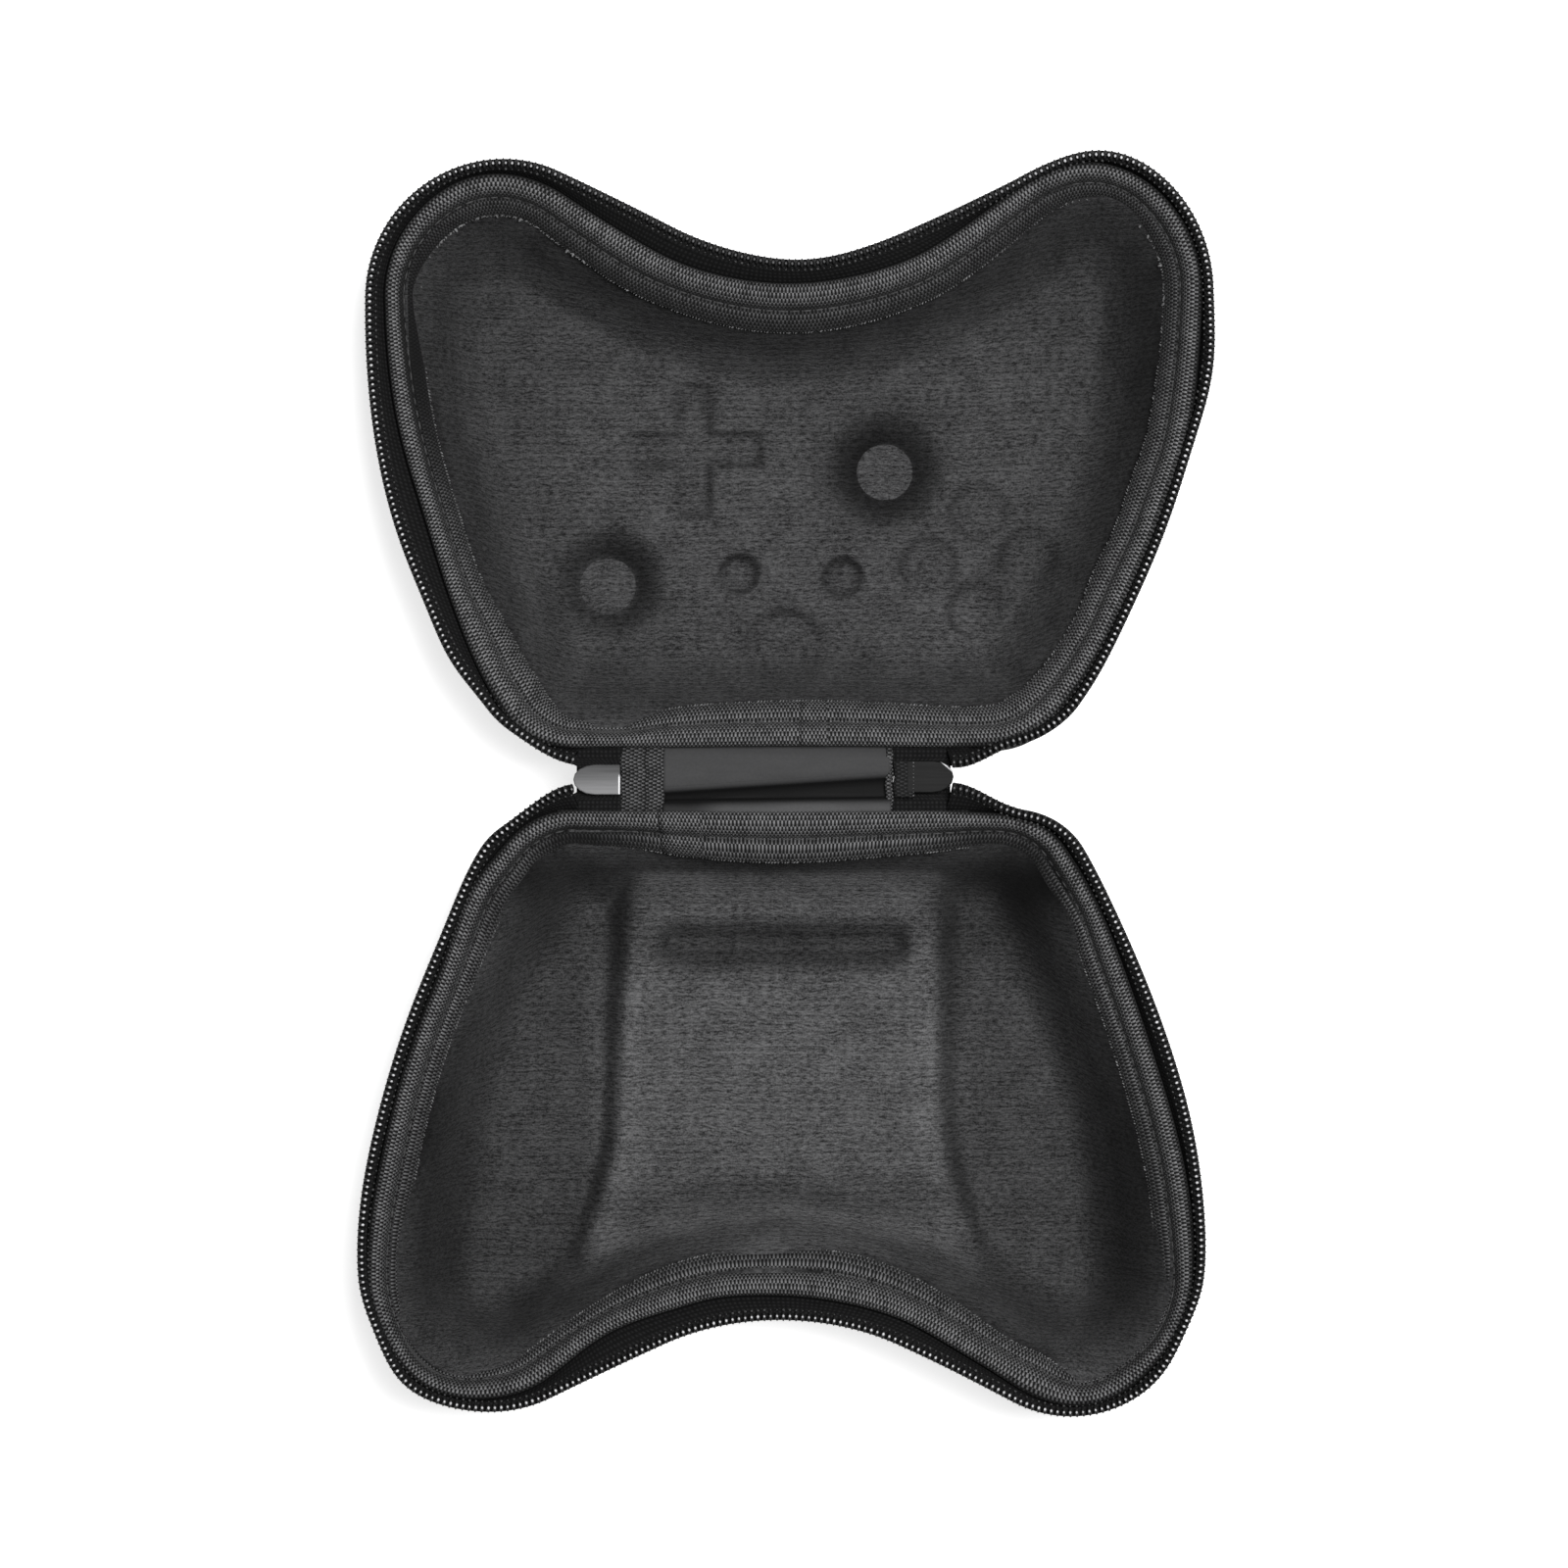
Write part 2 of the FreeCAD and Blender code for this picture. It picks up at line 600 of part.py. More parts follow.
trims = []
for half, turned, shell in [("lid", False, lidShell), ("base", True, baseShell)]:
    bindingRing, binding = bindingFor(half, turned, shell)
    trims += [binding, tapeFor(half, turned, shell, bindingRing), coilFor(half, turned)]


# The hinge strip and its bound ends, a little below the axes at the two rims

stripTop = rimHeight - size("stripDrop") + size("stripThickness") / 2
stripMiddle = stripTop - size("stripThickness") / 2
stripHalf = size("hingeGap") / 2 - size("stripGap")
sliderReach = size("sliderSpan") / 2 - size("sliderLength")
stripLeft = size("hingeCentreX") - sliderReach + size("endLeftWidth")
stripRight = size("hingeCentreX") + sliderReach - size("endRightWidth")


def slabBody(name, xLow, xHigh, half, thickness):
    body = newBody(name)
    sketch = newSketch(body, name + "Plan", offset=stripMiddle - thickness / 2)
    rectangle(sketch, xLow, -half, xHigh, half)
    pad = body.newObject("PartDesign::Pad", name + "Pad")
    pad.Profile = sketch
    bind(pad, "Length", thickness)
    return body


def boundEnd(name, xLow, xHigh):
    # A woven tape folded over the strip's end and stitched down, with rounded long edges.
    body = slabBody(name, xLow, xHigh, stripHalf, size("endThickness"))
    doc.recompute()
    flat = body.Tip
    along = []
    for number, edge in enumerate(flat.Shape.Edges, 1):
        direction = edge.Vertexes[-1].Point - edge.Vertexes[0].Point
        if abs(direction.y) > 1:
            along.append("Edge%d" % number)
    fillet = body.newObject("PartDesign::Fillet", name + "Rounding")
    fillet.Base = (flat, along)
    bind(fillet, "Radius", size("endRounding"))
    return body


strip = slabBody("hinge_strip", stripLeft, stripRight, stripHalf, size("stripThickness"))
endLeft = boundEnd("strip_end_left", stripLeft - size("endLeftWidth"), stripLeft)
endRight = boundEnd("strip_end_right", stripRight, stripRight + size("endRightWidth"))


# Zip sliders, the closed chain that each one holds, and the pulls

def turnedPlacement(left):
    turn = 0 if left else 180
    return FreeCAD.Placement(FreeCAD.Vector(), FreeCAD.Rotation(FreeCAD.Vector(0, 0, 1), turn))


def seatAtSlider(body, left, lift):
    # The body's origin goes to the slider's middle, its +X towards the hinge strip.
    reach = (size("sliderSpan") - size("sliderLength")) / 2
    body.Placement = turnedPlacement(left)
    placeFeature(body, size("hingeCentreX") + reach * (-1 if left else 1), ZERO, stripMiddle + lift)


def sliderFor(name, left):
    body = newBody(name)
    half, side, tall = size("sliderLength") / 2, size("sliderWidth") / 2, size("sliderHeight") / 2
    plate = size("sliderPlate")
    nose, cheek, start, swell = size("noseHalf"), size("noseCheek"), size("noseRound"), size("noseLength")
    plan = newSketch(body, name + "Plan", offset=-tall)
    polygon(plan, [(swell - half, -side), (half, -side), (half, side), (swell - half, side),
                   (start - half, cheek), (-half, nose), (-half, -nose), (start - half, -cheek)])
    block = body.newObject("PartDesign::Pad", name + "Block")
    block.Profile = plan
    bind(block, "Length", tall * 2)

    channel = newSketch(body, name + "ChannelSection", "YZ_Plane", size("sliderPost") - half)
    inside, slot, out = side - plate, size("tapeSlot") / 2, side + OVERRUN
    deep = tall - plate
    polygon(channel, [(-inside, -deep), (inside, -deep), (inside, -slot), (out, -slot), (out, slot),
                      (inside, slot), (inside, deep), (-inside, deep), (-inside, slot), (-out, slot),
                      (-out, -slot), (-inside, -slot)])
    pocket = body.newObject("PartDesign::Pocket", name + "Channel")
    pocket.Profile = channel
    pocket.Reversed = True
    bind(pocket, "Length", half * 2)

    bail = newSketch(body, name + "BailSide", "XZ_Plane")
    opening, bar, low = size("bailHalf"), size("bailBar"), tall + size("bailHeight")
    rectangle(bail, -opening - bar, -low - bar, opening + bar, plate / 2 - tall)
    rectangle(bail, -opening, -low, opening, -tall)
    hoop = body.newObject("PartDesign::Pad", name + "Bail")
    hoop.Profile = bail
    hoop.Midplane = True
    bind(hoop, "Length", size("bailWidth"))
    seatAtSlider(body, left, ZERO)
    return body


def chainStub(name, left):
    # The last closed teeth, sewn into the bound end, with their two tapes.
    body = newBody(name)
    half = size("sliderLength") / 2
    deep = size("sliderHeight") / 2 - size("sliderPlate") - size("fit")
    slot = size("tapeSlot") / 2 - size("fit")
    inside, out = size("stubHalf"), stripHalf
    section = newSketch(body, name + "Section", "YZ_Plane", half - size("stubReach"))
    polygon(section, [(-inside, -deep), (inside, -deep), (inside, -slot), (out, -slot), (out, slot),
                      (inside, slot), (inside, deep), (-inside, deep), (-inside, slot), (-out, slot),
                      (-out, -slot), (-inside, -slot)])
    pad = body.newObject("PartDesign::Pad", name + "Pad")
    pad.Profile = section
    bind(pad, "Length", size("stubReach"))
    seatAtSlider(body, left, ZERO)
    return body


pivotDrop = size("sliderHeight") / 2 + size("bailHeight") / 2


def pullFor(name, left):
    # A flat tab with an eye. The bar at its top lies in the bail and the tab hangs from it.
    body = newBody(name)
    half, bar = size("pullWidth") / 2, size("pullThickness") / 2
    length, eye = size("pullLength"), size("pullEye")
    window = size("bailWidth") / 2 + size("pullEyeSlack")
    neck, tip = size("pullNeck"), size("pullTipHalf")
    shoulder, taper = -eye - size("pullShoulder"), size("pullTipLength") - length
    sketch = newSketch(body, name + "Face", "YZ_Plane", -bar)
    polygon(sketch, [(-neck, bar), (-neck, -eye - bar * 2), (-half, shoulder), (-half, taper), (-tip, -length),
                     (tip, -length), (half, taper), (half, shoulder), (neck, -eye - bar * 2), (neck, bar)])
    rectangle(sketch, -window, -eye - bar, window, -bar)
    pad = body.newObject("PartDesign::Pad", name + "Pad")
    pad.Profile = sketch
    bind(pad, "Length", bar * 2)
    seatAtSlider(body, left, -pivotDrop)
    return body


hardware = []
for side in ["left", "right"]:
    left = side == "left"
    hardware += [sliderFor("slider_" + side, left), chainStub("chain_end_" + side, left),
                 pullFor("pull_" + side, left)]


# Check every object, then write one file for each piece

doc.recompute()
for item in doc.Objects:
    if "Invalid" in item.State or "Error" in item.State:
        raise RuntimeError("%s did not build: %s" % (item.Label, item.State))

pieces = [lidShell, lidLining, baseShell, baseLining] + trims + [strip, endLeft, endRight] + hardware
os.makedirs("parts", exist_ok=True)
for piece in pieces:
    shape = piece.Shape
    if shape.isNull() or not shape.isValid():
        raise RuntimeError("%s has no sound shape" % piece.Label)
    print("%-18s %d solid %9.1f mm3" % (piece.Label, len(shape.Solids), shape.Volume))
    shape.exportStep("parts/%s.step" % piece.Label)
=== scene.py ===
import math
import bpy
import bmesh
import numpy as np
from mathutils.bvhtree import BVHTree
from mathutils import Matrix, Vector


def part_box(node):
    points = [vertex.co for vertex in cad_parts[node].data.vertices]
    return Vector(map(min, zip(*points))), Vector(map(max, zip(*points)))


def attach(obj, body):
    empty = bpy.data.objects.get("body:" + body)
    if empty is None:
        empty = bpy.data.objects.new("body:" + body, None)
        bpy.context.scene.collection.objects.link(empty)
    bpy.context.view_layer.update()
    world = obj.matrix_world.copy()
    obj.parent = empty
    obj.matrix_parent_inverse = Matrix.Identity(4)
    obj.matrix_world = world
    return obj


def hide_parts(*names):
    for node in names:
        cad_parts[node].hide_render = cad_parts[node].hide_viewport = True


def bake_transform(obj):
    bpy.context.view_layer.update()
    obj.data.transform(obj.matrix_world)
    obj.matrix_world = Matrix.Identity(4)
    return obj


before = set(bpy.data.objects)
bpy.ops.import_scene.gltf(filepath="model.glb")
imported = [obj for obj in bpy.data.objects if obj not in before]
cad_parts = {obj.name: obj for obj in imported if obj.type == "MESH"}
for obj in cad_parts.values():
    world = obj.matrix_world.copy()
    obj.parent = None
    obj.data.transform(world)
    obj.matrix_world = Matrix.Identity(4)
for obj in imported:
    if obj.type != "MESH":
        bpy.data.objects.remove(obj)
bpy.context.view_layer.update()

millimetre = 0.001
print("frame loaded")

# The outline of both halves, in millimetres, drawn for the lid with its horns towards +Y
case = {
    "hornX": 59.7, "hornY": 101.4, "hornRadius": 27.6,
    "sideRadius": 167.6, "sideLift": 2.8,
    "shoulderRadius": 18.5, "notchRadius": 54.4, "flankSlope": 0.492,
    "hingeGap": 12.0,
    "rimHeight": 31.0, "rimInset": 3.6, "rimHingeInset": 1.0,
    "rimShoulderRadius": 15.0, "rimNotchRadius": 57.6, "rimFlankSlope": 0.577,
    "shoulderShrink": 0.6,
    "zipFrom": 34.2, "zipTo": -43.5,  # where the chain starts and ends at the hinge
    "baseFloor": 0.0, "lidFloor": 6.5,
    "columns": (30, 24, 46, 44, 20, 20),  # hinge, shoulder, side, horn, flank and notch, for half a turn
}


# Small helpers on numbers

def smooth(low, high, value):
    t = np.clip((value - low) / (high - low), 0, 1)
    return t * t * (3 - 2 * t)


def softMax(a, b, width):
    top = np.maximum(a, b)
    return top + width * np.log(np.exp((a - top) / width) + np.exp((b - top) / width))


def bell(value, middle, width):
    return np.exp(-((value - middle) / width) ** 2)


def rounded(corners, rounds=3):
    # cuts the corners of a section again and again, so that it runs smoothly
    points = np.array(corners, float)
    for step in range(rounds):
        near = points[:-1] * 0.75 + points[1:] * 0.25
        far = points[:-1] * 0.25 + points[1:] * 0.75
        inner = np.stack([near, far], 1).reshape(-1, points.shape[1])
        points = np.vstack([points[:1], inner[1:-1], points[-1:]])
    return points


# Lines round a half

def outlineLine(horn, side, shoulder, notch, slope, hinge, detail):
    counts = [max(2, round(count * detail)) for count in case["columns"]]
    reach = case["sideRadius"] - case["hornRadius"]
    sideX = case["hornX"] - math.sqrt(reach ** 2 - case["sideLift"] ** 2)
    sideY = case["hornY"] + case["sideLift"]
    shoulderY = hinge + shoulder
    shoulderX = sideX + math.sqrt((side - shoulder) ** 2 - (shoulderY - sideY) ** 2)
    notchY = case["hornY"] + (horn + notch) * math.hypot(1, slope) - slope * case["hornX"]
    toHorn = math.atan2(case["hornY"] - sideY, case["hornX"] - sideX)
    toShoulder = math.atan2(shoulderY - sideY, shoulderX - sideX)
    tilt, quarter = math.atan(slope), math.pi / 2

    def arc(x, y, radius, start, end, count):
        angles = np.linspace(start, end, count, endpoint=False)
        return np.stack([x + radius * np.cos(angles), y + radius * np.sin(angles)], 1)

    def line(start, end, count):
        steps = np.linspace(0, 1, count, endpoint=False)[:, None]
        return np.array(start) * (1 - steps) + np.array(end) * steps

    normal = np.array([-math.sin(tilt), math.cos(tilt)])
    flankTop = np.array([case["hornX"], case["hornY"]]) + normal * horn
    flankFoot = np.array([0, notchY]) - normal * notch
    right = np.vstack([
        line((0, hinge), (shoulderX, hinge), counts[0]),
        arc(shoulderX, shoulderY, shoulder, -quarter, toShoulder, counts[1]),
        arc(sideX, sideY, side, toShoulder, toHorn, counts[2]),
        arc(case["hornX"], case["hornY"], horn, toHorn, quarter + tilt, counts[3]),
        line(flankTop, flankFoot, counts[4]),
        arc(0, notchY, notch, tilt - quarter, -quarter, counts[5]),
        [(0, notchY - notch)]])
    left = right[1:-1][::-1] * (-1, 1)
    return np.vstack([right, left])


def zipLine(inset, detail=1.0):
    return outlineLine(case["hornRadius"] - inset, case["sideRadius"] - inset, case["shoulderRadius"] - inset,
                       case["notchRadius"] + inset, case["flankSlope"], case["hingeGap"] / 2 + inset, detail)


def rimLine(run, detail=1.0):
    inset = case["rimInset"] + run
    return outlineLine(case["hornRadius"] - inset, case["sideRadius"] - inset,
                       case["rimShoulderRadius"] - run * case["shoulderShrink"], case["rimNotchRadius"] + run,
                       case["rimFlankSlope"], case["hingeGap"] / 2 + case["rimHingeInset"] + run, detail)


def level(line, height):
    return np.column_stack([line, np.full(len(line), height) if np.isscalar(height) else height])


# How the soft halves lie: each a little off the middle line, the lid a little askew, and here and there
# the rim or the zip pulled out of its line. A pull is where it acts, how wide and tall, and how far it moves.
lie = {
    "lidRim": 1.3, "lidZip": 0.8, "lidSkew": 0.0105, "lidShort": 0.8,
    "baseRim": -1.3, "baseZip": -0.9, "baseLong": 1.6,
    "grows": (8, 60), "lidZipGrows": (40, 110),  # the Y over which a half comes to lie off the line
    "pulls": {
        "lidRim": [(64, 124, 26, 24, 0, 1.8), (0, 100, 30, 20, 0, -0.9), (-33, 112, 20, 16, 0, -1.5),
                   (36, 109, 18, 16, 0.2, -1.9), (-62, 18, 14, 12, -1.0, 0), (54, 10, 10, 9, -0.3, 0.9),
                   (86, 72, 14, 14, 1.0, -0.3), (88, 100, 10, 14, 0.5, 0), (-66, 127, 14, 12, -0.2, 0.8),
                   (-81, 50, 14, 18, 1.1, 0.4), (-57, 10, 9, 8, -0.4, -0.5)],
        "lidZip": [(-80, 52, 25, 45, -1.5, 0), (86, 84, 15, 14, 1.6, 0), (-42, 118, 30, 24, 0, 0.8),
                   (68, 122, 18, 24, 0, 1.9), (5, 106, 14, 20, 0, -1.0), (40, 112, 16, 16, 0, -1.6),
                   (55, 11, 11, 11, -0.6, 0.9), (70, 34, 14, 20, -0.8, 0), (-68, 26, 10, 10, -0.7, -1.2),
                   (52, 126, 11, 12, 0, -1.5)],
        "baseRim": [(3, -112, 24, 14, 0, -1.3), (-34, -120, 14, 12, -1.1, 2.6), (24, -118, 13, 12, 0.3, 0.6),
                    (-14, -114, 8, 12, -0.2, 0.8), (64, -131, 14, 12, 0.2, -2.5),
                    (-76, -125, 14, 12, -1.0, -1.6), (-89, -98, 10, 20, -1.5, 0),
                    (-67, -22, 12, 12, -2.3, 1.2), (-57, -9, 8, 8, 0, 0.2), (46, -6, 10, 8, 0, -0.5),
                    (62, -24, 10, 14, 0.6, 0.2), (86, -92, 16, 30, 1.7, 0)],
        "baseZip": [(82, -72, 22, 35, 1.2, 0), (-85, -90, 20, 20, -0.8, 0), (-84, -114, 14, 10, 1.2, 0),
                    (84, -114, 14, 10, -1.8, 0), (58, -128, 22, 14, 0, -1.0), (3, -106, 35, 18, 0, -1.2),
                    (-62, -14, 16, 16, -1.9, 0.5), (58, -12, 16, 14, 0.4, 0.5),
                    (-77, -126, 11, 11, -1.3, -0.5)],
    },
}


def place(half, points, onZip=False):
    x, y, z = points[..., 0], points[..., 1], points[..., 2]
    kind = half + ("Zip" if onZip else "Rim")
    away = smooth(*lie["grows"], y)
    drift = smooth(*lie["lidZipGrows"], y) if kind == "lidZip" else away
    if half == "lid":
        x, y = x + lie[kind] * drift, y + (lie["lidSkew"] * x - lie["lidShort"]) * away
    else:
        x, y = -x + lie[kind] * drift, -y - lie["baseLong"] * drift
    moveX, moveY = 0, 0
    for middleX, middleY, wide, tall, right, up in lie["pulls"][kind]:
        share = bell(x, middleX, wide) * bell(y, middleY, tall)
        moveX, moveY = moveX + right * share, moveY + up * share
    return np.stack([x + moveX, y + moveY, z], -1)


# Meshes

def lengths(points):
    steps = np.linalg.norm(np.diff(points, axis=0), axis=1)
    return np.concatenate([[0], np.cumsum(steps)])


def newMesh(name, points, edges=(), faces=()):
    mesh = bpy.data.meshes.new(name)
    mesh.from_pydata((np.array(points, float) * millimetre).tolist(), edges, faces)
    return mesh


def newObject(name, mesh):
    thing = bpy.data.objects.new(name, mesh)
    bpy.context.scene.collection.objects.link(thing)
    return thing


def facedOut(mesh):
    work = bmesh.new()
    work.from_mesh(mesh)
    bmesh.ops.recalc_face_normals(work, faces=work.faces)
    work.to_mesh(mesh)
    work.free()
    return mesh


def sweep(name, rows, ring=True, tube=False, centre=None, cloth=None, facing=1):
    # A skin over rows of points. ring joins its last column to its first, tube its last row to its first,
    # and centre closes the last row with a fan. cloth gives each point's place on the flat cloth.
    rows = np.asarray(rows, float)
    height, width = rows.shape[:2]
    points = rows.reshape(-1, 3)
    if cloth is None:
        middle, cross = rows[height // 2], rows[:, width // 3]
        along = lengths(np.vstack([middle, middle[:1]]))
        across = lengths(np.vstack([cross, cross[:1]]))
        cloth = np.stack(np.meshgrid(along, across), -1)
    else:
        cloth = np.pad(cloth, ((0, 1), (0, 1), (0, 0)), "wrap")

    faces, places = [], []
    for i in range(height if tube else height - 1):
        for j in range(width if ring else width - 1):
            corners = [(i, j), (i, j + 1), (i + 1, j + 1), (i + 1, j)][::facing]
            faces.append([(a % height) * width + b % width for a, b in corners])
            places += [cloth[corner] for corner in corners]
    if centre is not None:
        points = np.vstack([points, centre])
        for j in range(width):
            corners = [(height - 1, j), (height - 1, j + 1)][::facing]
            faces.append([a * width + b % width for a, b in corners] + [len(points) - 1])
            places += [cloth[corner] for corner in corners] + [centre[:2]]
    if tube and not ring:
        for j in (0, width - 1):
            faces.append([i * width + j for i in range(height)])
            places += list(cloth[:height, j])
    mesh = newMesh(name, points, faces=faces)
    layer = mesh.uv_layers.new(name="cloth")
    layer.data.foreach_set("uv", (np.array(places) * millimetre).ravel())
    if tube:
        facedOut(mesh)
    mesh.shade_smooth()
    return newObject(name, mesh)


def thicken(thing, thickness):
    solid = thing.modifiers.new("thickness", "SOLIDIFY")
    solid.thickness = thickness * millimetre
    solid.offset = -1


def soften(thing, width, segments):
    bevel = thing.modifiers.new("edges", "BEVEL")
    bevel.width = width * millimetre
    bevel.segments = segments
    bevel.limit_method = "ANGLE"
    bevel.harden_normals = True
    thing.data.shade_smooth()
    return thing


def prism(name, plan, low, high, flatAxis=2):
    # A closed outline pushed from low to high along one axis
    count = len(plan)
    points = np.insert(np.array(list(plan) * 2, float), flatAxis, np.repeat([low, high], count), axis=1)
    faces = [list(range(count)), list(range(count, 2 * count))]
    faces += [[i, (i + 1) % count, count + (i + 1) % count, count + i] for i in range(count)]
    return newObject(name, facedOut(newMesh(name, points, faces=faces)))


# How much of the sky a point of cloth sees, which is painted into its colour as shade, and for each cloth the
# power, gain and rounds of smoothing
shelter = {
    "rays": 36, "reach": 0.08, "lift": 0.0003,
    "base": (1.75, 0.95, 14), "lid": (1.54, 0.97, 4), "tape": (1.5, 1.1, 3), "strip": (1.0, 1.0, 3),
}


def cover(names):
    # Everything that can stand over a piece of cloth, for rays
    points, faces = [], []
    for name in names:
        first = len(points)
        mesh = bpy.data.objects[name].data
        points += [tuple(vertex.co) for vertex in mesh.vertices]
        faces += [[first + index for index in face.vertices] for face in mesh.polygons]
    return BVHTree.FromPolygons(points, faces)


def markOpenness(thing, kind, tree, places=()):
    # Stores on each point how much of the sky over it is free; materials mix it into their colour as painted
    # shade,
    # darker where the cloth lies deep. A place adds painted shade to the cloth, or painted light where its
    # share is below 0:
    # X, Y, how wide and tall, its share, and the height that it lies below, or above where that is written
    # negative.
    power, gain, rounds = shelter[kind]
    order = np.arange(shelter["rays"])
    steps = (order + 0.5) / shelter["rays"]
    turns = order * math.pi * (3 - math.sqrt(5))
    rays = np.stack([np.sqrt(steps) * np.cos(turns), np.sqrt(steps) * np.sin(turns), np.sqrt(1 - steps)], 1)
    mesh = thing.data
    free = np.zeros(len(mesh.vertices))
    for index, vertex in enumerate(mesh.vertices):
        normal = vertex.normal
        start = vertex.co + normal * shelter["lift"]
        ways = rays @ np.array(normal.to_track_quat("Z", "Y").to_matrix()).T
        free[index] = sum(tree.ray_cast(start, way, shelter["reach"])[0] is None for way in ways.tolist())
    free /= shelter["rays"]
    edges = np.empty(len(mesh.edges) * 2, int)
    mesh.edges.foreach_get("vertices", edges)
    a, b = edges.reshape(-1, 2).T
    count = np.bincount(edges, minlength=len(free))
    for step in range(rounds):
        total = np.bincount(a, free[b], len(free)) + np.bincount(b, free[a], len(free))
        free = (free + total / np.maximum(count, 1)) / 2
    free = gain * free ** power
    x, y, z = np.array([vertex.co for vertex in mesh.vertices]).T / millimetre
    for middleX, middleY, wide, tall, share, below in places:
        within = smooth(below + 0.7, below - 0.7, z) if below > 0 else smooth(-below - 5, -below + 3, z)
        free *= 1 - share * bell(x, middleX, wide) * bell(y, middleY, tall) * within
    mesh.attributes.new("open", "FLOAT", "POINT").data.foreach_set("value", free)
    return free


def joined(name, things):
    # One plain mesh of several pieces, with their modifiers taken in
    view = bpy.context.evaluated_depsgraph_get()
    work = bmesh.new()
    for thing in things:
        mesh = bpy.data.meshes.new_from_object(thing.evaluated_get(view))
        work.from_mesh(mesh)
        bpy.data.meshes.remove(mesh)
        bpy.data.objects.remove(thing)
    for face in work.faces:
        face.smooth = face.calc_area() < 2e-6  # broad faces stay flat, the rounded edges between them don't
    whole = bpy.data.meshes.new(name)
    work.to_mesh(whole)
    work.free()
    return newObject(name, whole)


def dress(thing, look, body=None, node=None):
    # Gives a piece its material, the body that it rides on and the solid that it stands for
    thing.data.materials.clear()
    thing.data.materials.append(look)
    if body:
        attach(thing, body)
    if node:
        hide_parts(node)
    return thing


# Node trees, for materials and for geometry

class Wire:
    # One output of a node, which can stand in sums
    def __init__(self, graph, socket):
        self.graph = graph
        self.socket = socket

    def work(self, operation, *others):
        return self.graph.add("ShaderNodeMath", {"operation": operation}, self, *others)

    def after(self, operation, other):
        return self.graph.add("ShaderNodeMath", {"operation": operation}, other, self)

    def __add__(self, other):
        return self.work("ADD", other)

    def __sub__(self, other):
        return self.work("SUBTRACT", other)

    def __rsub__(self, other):
        return self.after("SUBTRACT", other)

    def __mul__(self, other):
        return self.work("MULTIPLY", other)

    def __truediv__(self, other):
        return self.work("DIVIDE", other)

    def __rtruediv__(self, other):
        return self.after("DIVIDE", other)

    def __pow__(self, other):
        return self.work("POWER", other)

    __radd__, __rmul__ = __add__, __mul__

    def wave(self):
        return self.work("SINE") * 0.5 + 0.5

    def whole(self):
        return self.work("FLOOR")

    def part(self):
        return self.work("FRACT")

    def within(self, low, high):
        smoothly = {"interpolation_type": "SMOOTHSTEP"}
        return self.graph.add("ShaderNodeMapRange", smoothly, self, low, high, 0.0, 1.0)


class Graph:
    def __init__(self, tree):
        self.tree = tree

    def feed(self, socket, value):
        if isinstance(value, Wire):
            self.tree.links.new(value.socket, socket)
        else:
            socket.default_value = value

    def add(self, kind, settings, *values, out=0, **named):
        node = self.tree.nodes.new(kind)
        for name, value in settings.items():
            setattr(node, name, value)
        for number, value in enumerate(values):
            self.feed(node.inputs[number], value)
        for name, value in named.items():
            self.feed(node.inputs[name.replace("_", " ")], value)
        return Wire(self, node.outputs[out])


class Look(Graph):
    # A material with one Principled shader, whose constants are set on its own sockets
    def __init__(self, name, roughness, **constants):
        self.material = bpy.data.materials.new(name)
        self.material.use_nodes = True
        super().__init__(self.material.node_tree)
        self.shader = self.tree.nodes["Principled BSDF"]
        self.paint("Roughness", roughness)
        for name, value in constants.items():
            self.paint(name.replace("_", " "), value)

    def paint(self, socket, value):
        self.feed(self.shader.inputs[socket], value)

    def bump(self, height, depth):
        depth = depth * millimetre
        self.paint("Normal", self.add("ShaderNodeBump", {}, Height=height, Distance=depth, Strength=1.0))

    def onCloth(self):
        return self.split(self.add("ShaderNodeUVMap", {"uv_map": "cloth"}))[:2]

    def onObject(self):
        return self.add("ShaderNodeTexCoord", {}, out=3)

    def split(self, coords):
        return [self.add("ShaderNodeSeparateXYZ", {}, coords, out=axis) for axis in range(3)]

    def point(self, x, y, z=0.0):
        return self.add("ShaderNodeCombineXYZ", {}, x, y, z)

    def noise(self, coords, scale, detail=2.0, rough=0.5):
        return self.add("ShaderNodeTexNoise", {}, Vector=coords, Scale=scale, Detail=detail, Roughness=rough)

    def chance(self, x, y):
        return self.add("ShaderNodeTexWhiteNoise", {"noise_dimensions": "2D"}, Vector=self.point(x, y))

    def openness(self):
        return self.add("ShaderNodeAttribute", {"attribute_name": "open"}, out=2)

    def shade(self, dark, light, amount):
        mixed = self.add("ShaderNodeMix", {"data_type": "RGBA"}, amount, out=2)
        for number, value in ((6, dark), (7, light)):
            colour = value if isinstance(value, Wire) else (value, value, value * 1.02, 1.0)
            self.feed(mixed.socket.node.inputs[number], colour)
        return mixed


